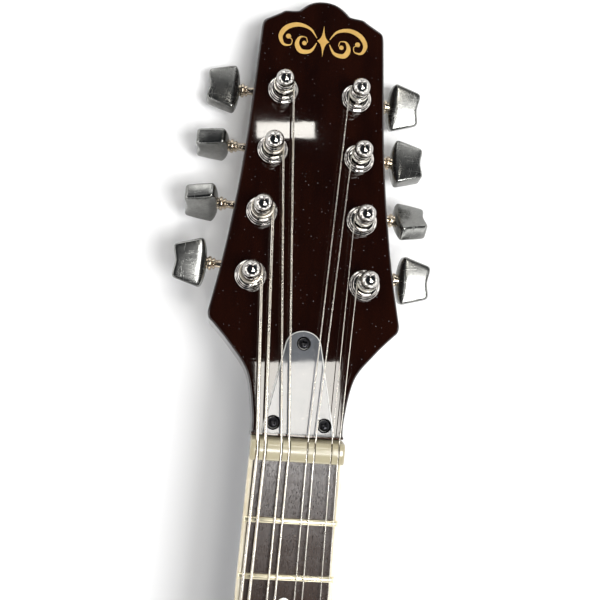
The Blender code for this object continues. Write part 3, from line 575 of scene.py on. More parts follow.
@dataclass(frozen=True)
class Finish:
    """A finish: its name, the slot that it belongs to, and how its nodes are laid."""

    name: str
    slot: str

    def material(self) -> Material:
        """The finish's material, made the first time that it is asked for."""
        title = f"{self.name} finish"
        found = bpy.data.materials.get(title)
        if found:
            return found
        made = bpy.data.materials.new(title)
        made.use_nodes = True
        bench = Bench(made.node_tree)
        self.lay_nodes(bench, made.node_tree.nodes["Principled BSDF"])
        return made

    def lay_nodes(self, bench: Bench, shader: Node) -> None:
        """Lay this finish's nodes and set its shader's own values."""
        raise NotImplementedError


@dataclass(frozen=True)
class Lacquer(Finish):
    """Clear gloss over stained wood, with dust and handling marks."""

    colour: Colour = (0.0062, 0.0013, 0.0006)
    streak_colour: Colour = (0.0125, 0.0026, 0.0010)
    # coppery edge colour: partly wear, partly a painted highlight on the rounded rims
    worn_and_highlight_colour: Colour = (0.30, 0.13, 0.06)
    dust_colour: Colour = (0.20, 0.21, 0.24)

    def lay_nodes(self, bench: Bench, shader: Node) -> None:
        """Streaks under the gloss, dust on it, and rubbed edges that also carry a painted highlight."""
        place = bench.object_place()
        grain = bench.use(Effects.grain(), place, Fineness=150.0)
        stain = bench.blend(grain.outputs["Streaks"], rgba(self.colour), rgba(self.streak_colour))
        # coppery rims: partly rubbed wear, partly a painted highlight along the rounded edges
        rubbed_and_lit = bench.use(Effects.edges(), place, Reach=0.60)
        stain = bench.blend(bench.sum("MULTIPLY", rubbed_and_lit.outputs["Mask"], 0.25), stain,
                            rgba(self.worn_and_highlight_colour))
        dust = bench.use(Effects.specks(), place, Fineness=900.0, Size=0.10, Share=0.36)
        dusty = bench.sum("MULTIPLY", dust.outputs["Mask"], 0.55)
        bench.feed(shader.inputs["Base Color"], bench.blend(dusty, stain, rgba(self.dust_colour)))
        film = bench.use(Effects.smudge(), place, Fineness=55.0, Low=0.012, High=0.045)
        bench.feed(shader.inputs["Roughness"], bench.sum("ADD", film.outputs[0], dusty))
        marks = bench.use(Effects.scratches(), place, Width=0.004)
        skin = bench.sum("ADD", bench.noise(place, 260.0, 1.0), bench.sum("MULTIPLY", marks.outputs[0], -0.1))
        bench.feed(shader.inputs["Normal"], bench.bump(skin, 0.05, 0.00005))
        shader.inputs["IOR"].default_value = 1.5


@dataclass(frozen=True)
class Sunburst(Finish):
    """Spruce under a clear gloss, shaded from amber in the middle to dark brown at the rim."""

    def lay_nodes(self, bench: Bench, shader: Node) -> None:
        """Colour follows the distance to the rim, over straight grain."""
        place = bench.object_place()
        rim = bench.lay("ShaderNodeAttribute", attribute_name="rim_share").outputs["Fac"]
        cloudy = bench.span(bench.noise(place, 9.0, 3.0), 0.3, 0.7, -0.035, 0.035)
        ramp = bench.lay("ShaderNodeValToRGB", {0: bench.sum("ADD", rim, cloudy)})
        stops = ((0.0, (0.50, 0.185, 0.035)), (0.38, (0.40, 0.115, 0.018)), (0.62, (0.17, 0.030, 0.006)),
                 (0.80, (0.035, 0.007, 0.003)), (1.0, (0.010, 0.0025, 0.0012)))
        elements = ramp.color_ramp.elements
        while len(elements) < len(stops):
            elements.new(0.5)
        for element, (spot, colour) in zip(elements, stops):
            element.position, element.color = spot, rgba(colour)
        grain = bench.use(Effects.grain(), place, Fineness=420.0)
        shade = bench.blend(bench.sum("MULTIPLY", grain.outputs["Streaks"], 0.55), ramp.outputs[0],
                            rgba((0.05, 0.014, 0.005)))
        bench.feed(shader.inputs["Base Color"], shade)
        film = bench.use(Effects.smudge(), place, Low=0.06, High=0.16)
        bench.feed(shader.inputs["Roughness"], film.outputs[0])
        skin = bench.sum("ADD", bench.sum("MULTIPLY", grain.outputs["Streaks"], 0.3),
                         bench.noise(place, 200.0, 1.0))
        bench.feed(shader.inputs["Normal"], bench.bump(skin, 0.2, 0.00008))


@dataclass(frozen=True)
class Timber(Finish):
    """Bare or oiled wood with grain and open pores."""

    colour: Colour = (0.080, 0.048, 0.036)
    dark_colour: Colour = (0.030, 0.017, 0.012)
    fineness: float = 330.0
    low_gloss: float = 0.34
    high_gloss: float = 0.55
    depth: float = 0.00012

    def lay_nodes(self, bench: Bench, shader: Node) -> None:
        """Streaks and pores darken the colour, and the pores dip."""
        place = bench.object_place()
        grain = bench.use(Effects.grain(), place, Fineness=self.fineness)
        wide = bench.span(bench.noise(bench.stretched(place, (1.0, 0.1, 1.0)), 70.0, 3.0), 0.35, 0.65,
                          0.0, 0.5)
        dark = bench.sum("ADD", wide, bench.sum("MULTIPLY", grain.outputs["Streaks"], 0.45))
        wood = bench.blend(dark, rgba(self.colour), rgba(self.dark_colour))
        pore_colour = tuple(part * 0.4 for part in self.dark_colour)
        wood = bench.blend(grain.outputs["Pores"], wood, rgba(pore_colour))
        chaff = bench.use(Effects.specks(), place, Fineness=1100.0, Size=0.16, Share=0.10)
        wood = bench.blend(bench.sum("MULTIPLY", chaff.outputs["Mask"], 0.5), wood, rgba((0.34, 0.28, 0.20)))
        bench.feed(shader.inputs["Base Color"], wood)
        film = bench.use(Effects.smudge(), place, Fineness=180.0, Low=self.low_gloss, High=self.high_gloss)
        bench.feed(shader.inputs["Roughness"], film.outputs[0])
        relief = bench.sum("SUBTRACT", bench.sum("MULTIPLY", grain.outputs["Streaks"], 0.35),
                           grain.outputs["Pores"])
        bench.feed(shader.inputs["Normal"], bench.bump(relief, 0.7, self.depth))


@dataclass(frozen=True)
class Cream(Finish):
    """Bone or celluloid, with faint clouds and scattered specks of grime."""

    colour: Colour = (0.74, 0.66, 0.47)
    cloud_colour: Colour = (0.66, 0.57, 0.38)
    low_gloss: float = 0.22
    high_gloss: float = 0.36

    def lay_nodes(self, bench: Bench, shader: Node) -> None:
        """Clouded colour with a soft gloss."""
        place = bench.object_place()
        cloud = bench.span(bench.noise(place, 120.0, 4.0), 0.35, 0.7)
        tone = bench.blend(cloud, rgba(self.colour), rgba(self.cloud_colour))
        grime = bench.use(Effects.specks(), place, Fineness=800.0, Size=0.08, Share=0.10)
        dirt = bench.sum("MULTIPLY", grime.outputs["Mask"], 0.35)
        bench.feed(shader.inputs["Base Color"], bench.blend(dirt, tone, rgba((0.25, 0.17, 0.09))))
        film = bench.use(Effects.smudge(), place, Fineness=160.0, Low=self.low_gloss, High=self.high_gloss)
        bench.feed(shader.inputs["Roughness"], film.outputs[0])
        bench.feed(shader.inputs["Normal"], bench.bump(bench.noise(place, 500.0, 2.0), 0.15, 0.00005))


@dataclass(frozen=True)
class Metal(Finish):
    """Plated or bare metal with handling film, hairlines and bright edges, partly wear and partly painted
    highlight.
    """

    colour: Colour = (0.80, 0.80, 0.79)
    dull_colour: Colour = (0.66, 0.66, 0.66)
    # bright edge colour: partly wear, partly a painted highlight on rounded rims
    worn_and_highlight_edge_colour: Colour = (0.86, 0.86, 0.85)
    edge_share: float = 0.4
    low_gloss: float = 0.05
    high_gloss: float = 0.12
    hairline: float = 0.006
    relief: float = 0.25
    fineness: float = 160.0
    metallic: float = 1.0

    def lay_nodes(self, bench: Bench, shader: Node) -> None:
        """Film and hairlines change both the tone and the gloss."""
        place = bench.object_place()
        film = bench.use(Effects.smudge(), place, Fineness=self.fineness)
        tone = bench.blend(film.outputs[0], rgba(self.colour), rgba(self.dull_colour))
        # bright edges: partly wear, partly a painted highlight on the rounded rims
        worn_and_lit = bench.use(Effects.edges(), place)
        tone = bench.blend(bench.sum("MULTIPLY", worn_and_lit.outputs["Mask"], self.edge_share), tone,
                           rgba(self.worn_and_highlight_edge_colour))
        bench.feed(shader.inputs["Base Color"], tone)
        spread = self.high_gloss - self.low_gloss
        gloss = bench.sum("ADD", bench.sum("MULTIPLY", film.outputs[0], spread), self.low_gloss)
        marks = bench.use(Effects.scratches(), place, Width=self.hairline, Fineness=260.0)
        bench.feed(shader.inputs["Roughness"],
                   bench.sum("ADD", gloss, bench.sum("MULTIPLY", marks.outputs[0], 0.18)))
        skin = bench.sum("SUBTRACT", bench.noise(place, 420.0, 2.0),
                         bench.sum("MULTIPLY", marks.outputs[0], 0.5))
        bench.feed(shader.inputs["Normal"], bench.bump(skin, self.relief, 0.00005))
        shader.inputs["Metallic"].default_value = self.metallic


@dataclass(frozen=True)
class StringMetal(Finish):
    """Steel wire, plain or with a fine wrap wound round it."""

    colour: Colour = (0.83, 0.80, 0.74)
    dull_colour: Colour = (0.62, 0.58, 0.50)
    wraps_per_mm: float = 0.0

    def lay_nodes(self, bench: Bench, shader: Node) -> None:
        """Tone changes along the wire; a wound one is ridged, with painted shade in the grooves between its
        wraps.
        """
        place = bench.object_place()
        film = bench.use(Effects.smudge(), place, Fineness=130.0, Low=0.0, High=1.0)
        tone = bench.blend(film.outputs[0], rgba(self.colour), rgba(self.dull_colour))
        gloss = bench.span(film.outputs[0], 0, 1, 0.20, 0.36)
        along = bench.lay("ShaderNodeSeparateXYZ", {0: place}).outputs["Y"]
        if self.wraps_per_mm:
            wave = bench.sum("SINE", bench.sum("MULTIPLY", along, 2 * math.pi * self.wraps_per_mm / MM))
            ridge = bench.span(wave, -1, 1)
            # painted shade: darkens the grooves between the wraps
            tone = bench.blend(bench.span(wave, -1.0, -0.2, 0.25, 0.0), tone, rgba((0.22, 0.17, 0.11)))
            bench.feed(shader.inputs["Normal"], bench.bump(ridge, 0.3, 0.00004))
        else:
            bench.feed(shader.inputs["Normal"], bench.bump(bench.noise(place, 700.0), 0.15, 0.00003))
        bench.feed(shader.inputs["Base Color"], tone)
        bench.feed(shader.inputs["Roughness"], gloss)
        shader.inputs["Metallic"].default_value = 1.0


@dataclass(frozen=True)
class Pearl(Finish):
    """Layered shell for the position dots."""

    def lay_nodes(self, bench: Bench, shader: Node) -> None:
        """Bands of cool and warm white."""
        place = bench.object_place()
        wave = bench.lay("ShaderNodeTexWave", {"Vector": place, "Scale": 160.0, "Distortion": 9.0,
                                               "Detail": 3.0, "Detail Scale": 2.0}).outputs[1]
        ramp = bench.lay("ShaderNodeValToRGB", {0: wave})
        ramp.color_ramp.elements[0].color = (0.74, 0.70, 0.62, 1)
        ramp.color_ramp.elements[1].color = (0.86, 0.85, 0.80, 1)
        middle = ramp.color_ramp.elements.new(0.5)
        middle.color = (0.62, 0.70, 0.66, 1)
        bench.feed(shader.inputs["Base Color"], ramp.outputs[0])
        bench.feed(shader.inputs["Roughness"], bench.span(wave, 0, 1, 0.14, 0.30))
        bench.feed(shader.inputs["Normal"], bench.bump(wave, 0.1, 0.00004))


class Finishes:
    """The instrument's finishes."""

    LACQUER = Lacquer("dark gloss lacquer", "gloss_brown")
    SUNBURST = Sunburst("sunburst spruce", "sunburst_top")
    ROSEWOOD = Timber("rosewood", "rosewood", (0.036, 0.0185, 0.011), (0.015, 0.0075, 0.0045), 1500.0,
                      0.23, 0.31, 0.00004)
    BRIDGE_WOOD = Timber("bridge rosewood", "rosewood", (0.060, 0.030, 0.020), (0.022, 0.010, 0.007))
    SPRUCE = Timber("bare spruce", "plain_wood", (0.56, 0.38, 0.20), (0.38, 0.22, 0.10), 260.0, 0.5,
                    0.7, 0.00006)
    NUT = Cream("nut cream", "bone", (0.415, 0.372, 0.255), (0.37, 0.325, 0.21), 0.13, 0.22)
    BINDING = Cream("binding cream", "bone", (0.72, 0.66, 0.50), (0.62, 0.54, 0.38), 0.20, 0.32)
    CHROME = Metal("chrome", "chrome", (0.50, 0.475, 0.445), (0.42, 0.40, 0.375), low_gloss=0.03,
                   high_gloss=0.07)
    # the buttons' bright edge colour at a high share is mostly a painted highlight on their rims
    BUTTON = Metal("smoked nickel", "nickel", (0.24, 0.24, 0.228), (0.19, 0.19, 0.18),
                   (0.80, 0.80, 0.78), 0.9, 0.19, 0.27, 0.005, 0.3, 500.0)
    SHAFT = Metal("warm nickel", "nickel", (0.70, 0.62, 0.50), (0.52, 0.42, 0.31), (0.85, 0.80, 0.72), 0.4,
                  0.10, 0.22)
    COVER = Metal("cover plate gloss", "cover_metal", (0.098, 0.104, 0.116), (0.115, 0.120, 0.130),
                  (0.6, 0.6, 0.6), 0.5, 0.03, 0.06, 0.0012, 0.03, metallic=0.0)
    WHITE_PLY = Cream("white ply", "bone", (0.86, 0.86, 0.83), (0.80, 0.80, 0.76), 0.15, 0.25)
    FRET_WIRE = Metal("fret wire", "nickel", (0.90, 0.83, 0.62), (0.80, 0.72, 0.50), (0.92, 0.87, 0.70), 0.4,
                      0.24, 0.38)
    BRASS = Metal("brass", "brass", (0.70, 0.50, 0.20), (0.52, 0.34, 0.13), (0.85, 0.68, 0.36), 0.6,
                  0.18, 0.34)
    STEEL = Metal("steel", "steel", (0.56, 0.56, 0.56), (0.40, 0.40, 0.40), low_gloss=0.25, high_gloss=0.4)
    SCREW = Metal("blackened screw", "dark_screw", (0.035, 0.035, 0.038), (0.018, 0.018, 0.020),
                  (0.16, 0.16, 0.17), 0.7, 0.24, 0.40)
    GOLD = Metal("gold inlay", "brass", (0.80, 0.50, 0.14), (0.62, 0.36, 0.09), (0.85, 0.60, 0.22), 0.2,
                 0.28, 0.42, metallic=0.45)
    PLAIN_WIRE = StringMetal("plain wire", "plain_string")
    WOUND_WIRE = StringMetal("wound wire", "wound_string", (0.84, 0.80, 0.72), (0.66, 0.60, 0.50), 3.6)
    PEARL = Pearl("pearl dot", "bone")


# ------------------------------------------------------------------ setting pieces down


class Facing(Enum):
    """How a piece's shading treats its flats."""

    PLAIN = 0
    FLATS_KEPT = 1


def set_down(name: str, bm: BMesh, place: Matrix, finish: Finish, body: str = "root",
             stands_for: tuple[str, ...] = (), smooth: float = 34.0, facing: Facing = Facing.PLAIN) -> Object:
    """Make a piece from a solid, put it in its place and let it ride on its body.

    Args:
        name: the piece's name.
        bm: the solid, in its own frame; it is used up.
        place: the frame that it was shaped in.
        finish: its finish.
        body: the body that it moves with.
        stands_for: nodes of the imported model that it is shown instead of.
        smooth: sharpest angle, in degrees, that is still shaded smoothly.
        facing: whether large flats keep their own direction.

    Returns:
        The piece.
    """
    bmesh.ops.transform(bm, matrix=Matrix.Scale(MM, 4) @ place, verts=bm.verts)
    mesh = bpy.data.meshes.new(name)
    bm.to_mesh(mesh)
    bm.free()
    mesh.materials.append(finish.material())
    mesh.shade_smooth()
    mesh.set_sharp_from_angle(angle=math.radians(smooth))
    piece = bpy.data.objects.new(name, mesh)
    bpy.context.scene.collection.objects.link(piece)
    if facing is Facing.FLATS_KEPT:
        weigh = piece.modifiers.new("flats", "WEIGHTED_NORMAL")
        weigh.keep_sharp = True
    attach(piece, body)
    if stands_for:
        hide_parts(*stands_for)
    LOG.info("%s: %d faces, on %s", name, len(mesh.polygons), body)
    return piece


def redress(node: str, finish: Finish) -> None:
    """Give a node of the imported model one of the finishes."""
    materials = frame["nodes"][node].data.materials
    materials.clear()
    materials.append(finish.material())


def standing(origin: Vector, along_y: Vector) -> Matrix:
    """A frame at an origin, its X across the instrument and its Y along a direction."""
    x = Vector((1, 0, 0))
    z = x.cross(along_y).normalized()
    turned = Matrix((x, along_y.normalized(), z)).transposed().to_4x4()
    return Matrix.Translation(origin) @ turned


@dataclass(frozen=True)
class Layout:
    """Frames of the board, the headstock and the tailpiece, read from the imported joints."""

    rod_nut_spot: Point = (0.0, 14.6, -9.8)
    first_post: Point = (-19.76, 54.25)
    post_x: float = 19.76
    post_x_step: float = -2.114
    post_y: float = 54.25
    post_pitch: float = 23.06
    tail_gap: float = 0.4
    tail_height: float = 61.0
    joints: dict = field(default_factory=lambda: {joint["name"]: joint for joint in frame["joints"]})

    @property
    def board(self) -> Matrix:
        """Origin at the nut's front edge on the fingerboard, +Y to the headstock, +Z out of the board."""
        joint = self.joints["truss_rod_adjust"]
        spot = standing(Vector(joint["pos_m"]) / MM, Vector(joint["axis"]))
        return spot @ Matrix.Translation(-Vector(self.rod_nut_spot))

    @property
    def head(self) -> Matrix:
        """On the headstock's face, +Y up the headstock, +Z out of it."""
        joint = self.joints["bass_1_post_turn"]
        out = Vector(joint["axis"])
        spot = standing(Vector(joint["pos_m"]) / MM, out.cross(Vector((1, 0, 0))))
        return spot @ at(-self.first_post[0], -self.first_post[1])

    @property
    def tail(self) -> Matrix:
        """On the tailpiece's plate, +Y towards the bridge."""
        low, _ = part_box("back_plate")
        origin = Vector((0.0, low.y / MM - self.tail_gap, self.tail_height))
        return standing(origin, -Vector(self.joints["tail_cover_slide"]["axis"]))

    def post(self, side: Side, number: int) -> Point:
        """Head-frame place of a post, counted from the nut."""
        return side.value * (self.post_x + self.post_x_step * number), self.post_y + self.post_pitch * number


# ------------------------------------------------------------------ body


@dataclass
class Body:
    """Teardrop body: carved top, bent sides, flat back and their bindings."""

    half_length: float = 175.0
    half_width: float = 127.0
    neck_end: float = 29.0
    widest_y: float = -52.0
    centre_y: float = -25.0
    back_thickness: float = 3.5
    rim_top: float = 56.0
    top_thickness: float = 4.0
    arch_height: float = 13.0
    rib_thickness: float = 2.2
    binding_width: float = 2.0
    pin_height: float = 20.0
    outline_steps: int = 34
    f_spine: tuple[Point, ...] = ((40, 42), (48, 34), (51, 12), (62, -16), (67, -40), (76, -50))
    f_width: float = 7.5
    f_eyes: tuple[float, float] = (4.6, 6.0)

    @property
    def top_edge(self) -> float:
        """Height of the top's rim."""
        return self.rim_top + self.top_thickness

    def half_outline(self) -> list[Point]:
        """Right half of the outline, tail first."""
        tail, widest = (0.0, -self.half_length), (self.half_width, self.widest_y)
        end = (self.neck_end, self.half_length)
        lower = bezier(tail, (72.0, -self.half_length), (self.half_width, -124.0), widest, self.outline_steps)
        upper = bezier(widest, (self.half_width, 40.0), (66.0, 144.0), end, self.outline_steps)
        return lower + upper + [end]

    def outline(self) -> list[Point]:
        """The whole outline."""
        return mirrored(self.half_outline())

    def arch(self, share: float) -> float:
        """Rise of the top at a share of the way from its middle to its rim."""
        return self.arch_height * 0.5 * (1 + math.cos(math.pi * min(1.0, share / 0.93)))

    def rim_share(self, x: float, y: float, outline: list[Point]) -> float:
        """How far a point lies from the arch's middle, as a share of the way to the rim."""
        ray = Vector((x, y - self.centre_y))
        if ray.length < 0.01:
            return 0.0
        for first, second in zip(outline, outline[1:] + outline[:1]):
            a = Vector((first[0], first[1] - self.centre_y))
            side = Vector(second) - Vector(first)
            across = ray.x * side.y - ray.y * side.x
            if abs(across) < 1e-9:
                continue
            reach = (a.x * side.y - a.y * side.x) / across
            along = (a.x * ray.y - a.y * ray.x) / across
            if reach > 0 and -1e-6 <= along <= 1 + 1e-6:
                return min(1.0, 1.0 / reach)
        return 1.0

    def height(self, x: float, y: float) -> float:
        """Height of the top's upper face."""
        return self.top_edge + self.arch(self.rim_share(x, y, self.outline()))

    def shape_soundboard(self) -> BMesh:
        """The carved plate with its two f-holes."""
        bm = bmesh.new()
        inner = inset(self.outline(), self.binding_width)
        verts = [bm.verts.new((x, y, self.top_edge)) for x, y in inner]
        edges = [bm.edges.new(pair) for pair in zip(verts, verts[1:] + verts[:1])]
        shares = [1.0, 0.965, 0.93, 0.89, 0.85, 0.80, 0.74, 0.67, 0.59, 0.50, 0.41, 0.32, 0.23, 0.14, 0.06]
        for before, share in zip(shares, shares[1:]):
            grown = bmesh.ops.extrude_edge_only(bm, edges=edges)["geom"]
            edges = [item for item in grown if isinstance(item, bmesh.types.BMEdge)]
            for vert in (item for item in grown if isinstance(item, bmesh.types.BMVert)):
                vert.co.x *= share / before
                vert.co.y = self.centre_y + (vert.co.y - self.centre_y) * share / before
                vert.co.z = self.top_edge + self.arch(share)
        bmesh.ops.contextual_create(bm, geom=edges)
        grown = bmesh.ops.extrude_face_region(bm, geom=list(bm.faces))["geom"]
        under = [item for item in grown if isinstance(item, bmesh.types.BMVert)]
        bmesh.ops.translate(bm, vec=(0, 0, -self.top_thickness + 0.05), verts=under)
        bmesh.ops.recalc_face_normals(bm, faces=bm.faces)
        return carve(bm, [self.shape_f_cutter(side) for side in Side])

    def shape_f_cutter(self, side: Side) -> BMesh:
        """Cutter for one f-hole: a slanting slot with a round eye at each end and two nicks."""
        spine = through(list(self.f_spine), 8)
        right, left = [], []
        for i, (x, y) in enumerate(spine):
            before, after = spine[max(0, i - 1)], spine[min(len(spine) - 1, i + 1)]
            along = Vector((after[0] - before[0], after[1] - before[1])).normalized()
            width = self.f_width * (0.62 + 0.38 * math.sin(math.pi * i / (len(spine) - 1)))
            across = Vector((along.y, -along.x)) * width / 2
            right.append((side.value * (x + across.x), y + across.y))
            left.append((side.value * (x - across.x), y - across.y))
        slot = slab(right + left[::-1], 40, 90)
        eyes = [moved(rod(radius, 40, 90, 40), at(side.value * spine[end][0], spine[end][1]))
                for end, radius in zip((0, -1), self.f_eyes)]
        middle = spine[len(spine) // 2 - 4]
        nick = slab([(-6.4, 0.0), (0.0, 1.1), (6.4, 0.0), (0.0, -1.1)], 40, 90)
        nick = moved(nick, at(side.value * middle[0], middle[1]) @ turn(side.value * 20, "Z"))
        return carve(slot, [*eyes, nick], "UNION")

    def band(self, low: float, high: float, rounding: tuple[float, float]) -> BMesh:
        """A strip of binding all round the outline."""
        outer = slab(self.outline(), low, high, rounding[0], rounding[1])
        inner = slab(inset(self.outline(), self.binding_width - 0.02), low - 2, high + 2)
        return carve(outer, [inner])

    def shape_side(self, side: Side) -> BMesh:
        """One bent side, from the tail seam to the neck's end."""
        half = self.half_outline()
        outer = [(0.12, half[0][1]), *half[1:], (0.12, self.half_length)]
        inner = [(x, y) for x, y in inset(mirrored(half), self.rib_thickness)[:len(half)]]
        inner = [(0.12, inner[0][1]), *inner[1:], (0.12, self.half_length - self.rib_thickness)]
        bm = slab(outer + inner[::-1], self.back_thickness + 0.02, self.rim_top - 0.02)
        hole = moved(rod(4.3, -20, 20, 40), at(0, -self.half_length, self.pin_height) @ turn(90, "X"))
        bm = carve(bm, [hole])
        return moved(bm, Matrix.Diagonal((side.value, 1, 1, 1)))

    def build(self) -> None:
        """Set the body's pieces down."""
        place = Matrix.Identity(4)
        outline = self.outline()
        top = set_down("carved_top", self.shape_soundboard(), place, Finishes.SUNBURST,
                       stands_for=("soundboard",), smooth=40)
        shares = top.data.attributes.new("rim_share", "FLOAT", "POINT")
        for vert, entry in zip(top.data.vertices, shares.data):
            entry.value = self.rim_share(vert.co.x / MM, vert.co.y / MM, outline)
        back = slab(inset(outline, self.binding_width), 0.0, self.back_thickness, 0.0, 0.4)
        set_down("back", back, place, Finishes.LACQUER, stands_for=("back_plate",), facing=Facing.FLATS_KEPT)
        set_down("top_binding", self.band(self.rim_top, self.top_edge, (0.7, 0.0)), place, Finishes.BINDING)
        set_down("back_binding", self.band(0.0, self.back_thickness, (0.0, 0.9)), place, Finishes.BINDING)
        for side in Side:
            set_down(f"{side.label}_rib", self.shape_side(side), place, Finishes.LACQUER,
                     stands_for=(f"{side.label}_side",))
        for node in ("head_block", "tail_block", "bass_tone_bar", "treble_tone_bar"):
            redress(node, Finishes.SPRUCE)
        self.build_end_pin()

    def build_end_pin(self) -> None:
        """The strap pin at the tail, with its felt-side flange."""
        profile = [(0, 13.98), (2.5, 13.93), (4.2, 13.7), (5.6, 13.2), (6.6, 12.5), (7.1, 11.7), (7.2, 10.9),
                   (6.8, 10.1), (5.9, 9.2), (5.2, 8.2), (4.75, 7.0), (4.6, 6.0), (4.65, 4.6), (4.95, 3.2),
                   (5.6, 2.2), (6.2, 1.8), (6.4, 1.3), (6.4, 0.4), (3.9, 0.4), (3.5, -16.0), (0, -16.0)]
        place = at(0, -self.half_length, self.pin_height) @ turn(90, "X")
        set_down("strap_pin", lathe(profile, 56), place, Finishes.CHROME, stands_for=("end_pin",))


# ------------------------------------------------------------------ neck


@dataclass
class Neck:
    """Neck and headstock in one, with the fingerboard, nut and truss rod."""

    layout: Layout
    scale_length: float = 352.0
    frets: int = 20
    body_fret: int = 14
    pitch: float = math.radians(3.5)
    nut_half: float = 15.35
    taper: float = 0.014
    board_thickness: float = 5.0
    board_length: float = 246.0
    binding: float = 1.45
    nut_length: float = 6.8
    depth: float = 19.0
    fret_width: float = 2.0
    fret_height: float = 1.0
    head_thickness: float = 13.5
    head_foot: float = 1.3
    head_round: float = 1.15
    rod_depth: float = -9.8
    cover_thickness: float = 1.4
    string_at_nut: float = 1.45
    head_tilt: float = math.radians(12.69)
    cover_screws: tuple[tuple[str, float, float], ...] = (
        ("cover_screw_top", 0.0, 32.2), ("cover_screw_bass", -8.5, 5.4), ("cover_screw_treble", 8.5, 5.4))
    dots: tuple[tuple[int, float], ...] = ((3, 0.0), (5, 0.0), (7, 0.0), (10, 0.0), (12, -6.0), (12, 6.0),
                                           (15, 0.0))
    dot_radius: float = 2.05

    def fret_place(self, number: int) -> float:
        """Board-frame Y of a fret."""
        return -self.scale_length * (1 - 2 ** (-number / 12))

    def half_width(self, y: float) -> float:
        """Half the board's width at a place along it."""
        return self.nut_half - self.taper * y

    def ring(self, y: float, half: float, depth: float, top: float, narrow: float,
             lean: float) -> list[Point]:
        """One D-shaped section of the neck; lean keeps it upright against the body's end."""
        shoulder, count = 1.5, 20
        points = [(half, top)]
        for i in range(count + 1):
            angle = math.pi * i / count
            drop = shoulder + (depth + top - shoulder) * math.sin(angle)
            points.append((half * (1 - narrow * math.sin(angle) ** 2) * math.cos(angle), top - drop))
        points.append((-half, top))
        return [(x, y - lean * z * math.tan(self.pitch), z) for x, z in points]

    def head_outline(self) -> list[Point]:
        """Outline of the headstock: shoulder, concave side and stepped crown."""
        shoulder = through([(15.4, self.head_foot), (15.5, 8.0), (18.3, 21.4), (24.9, 30.5), (30.8, 36.9)], 7)
        tip = bezier((32.2, 38.2), (33.2, 39.3), (33.2, 40.9), (32.9, 42.3), 6)
        edge = through([(32.9, 42.3), (29.8, 60.0), (26.9, 83.0), (25.0, 105.0), (23.9, 127.0),
                        (22.9, 148.0)], 5)
        corner = bezier((22.8, 149.2), (22.6, 151.0), (22.2, 151.6), (20.9, 152.3), 5)
        crown = [(20.9, 152.3), (16.6, 154.9)]
        crown += bezier((15.2, 155.9), (14.2, 156.5), (11.4, 156.2), (9.6, 156.8), 6)
        crown += bezier((9.6, 156.8), (7.2, 159.4), (4.6, 161.6), (0.0, 161.6), 10)
        return mirrored(shoulder + tip + edge + corner + crown + [(0.0, 161.6)])

    def shape_neck(self) -> BMesh:
        """Neck, heel and headstock, bored for the tuners and cut for the truss rod."""
        board, head = self.layout.board, self.layout.head
        to_board = board.inverted() @ head
        top = -self.board_thickness - 0.02
        end = self.fret_place(self.body_fret) + 0.4
        sections = [(end + along, self.half_width(end + along) - 0.2, depth, top, narrow, lean)
                    for along, depth, narrow, lean in (
                        (0.0, 73.5, 0.50, 1), (6.0, 66.0, 0.46, 1), (13.0, 48.0, 0.34, 0.8),
                        (21.0, 34.0, 0.18, 0.3), (31.0, 26.0, 0.06, 0), (46.0, 22.5, 0, 0),
                        (95.0, 20.8, 0, 0))]
        sections += [(-10.0, self.nut_half - 0.1, self.depth + 0.3, top, 0, 0),
                     (self.nut_length + 0.1, self.nut_half - 0.3, self.depth, top, 0, 0),
                     (16.0, self.nut_half - 1.0, self.depth, -7.5, 0, 0),
                     (28.0, self.nut_half - 3.0, self.depth + 0.8, -11.0, 0, 0)]
        heel = through(sections[:7], 3)
        neck = loft([self.ring(*section) for section in heel + sections[7:]])
        riser = block((-17.4, -self.board_length, -15.8), (17.4, end + 8.0, top), 0.6)
        blade = slab(self.head_outline(), -self.head_thickness, 0.0)
        neck = carve(neck, [riser, moved(blade, to_board)], "UNION")
        cutters = [block((-2.6, -187, self.rod_depth - 2.8), (2.6, 10.5, -self.board_thickness)),
                   block((-4.8, 9.6, self.rod_depth - 4.2), (4.8, 25.0, 2.0))]
        for side in Side:
            for number in range(4):
                bore = moved(rod(4.6, -self.head_thickness - 3, 3), at(*self.layout.post(side, number)))
                cutters.append(moved(bore, to_board))
        neck = carve(neck, cutters)
        soften(neck, self.head_rim(neck, to_board.inverted()), self.head_round, 4)
        return neck

    def head_rim(self, neck: BMesh, to_head: Matrix) -> list:
        """The sharp edges round the headstock's two faces."""
        rim = []
        for edge in neck.edges:
            ends = [to_head @ vert.co for vert in edge.verts]
            level = any(all(abs(end.z - face) < 0.01 for end in ends) for face in (0.0, -self.head_thickness))
            outer = all(end.y > 2.0 and abs(end.x) > 13.8 - max(0.0, end.y - 150.0) * 3 for end in ends)
            bored = any(math.dist(end.xy, self.layout.post(side, number)) < 5.0
                        for end in ends for side in Side for number in range(4))
            if level and outer and not bored and edge.calc_face_angle(0.0) > 1.2:
                rim.append(edge)
        return rim

    def build(self) -> None:
        """Set down the neck and everything glued or screwed to it."""
        board = self.layout.board
        set_down("neck_and_headstock", self.shape_neck(), board, Finishes.LACQUER, stands_for=("neck",),
                 facing=Facing.FLATS_KEPT)
        self.build_fingerboard()
        self.build_nut()
        self.build_cover()
        redress("truss_rod", Finishes.STEEL)
        redress("truss_rod_nut", Finishes.BRASS)

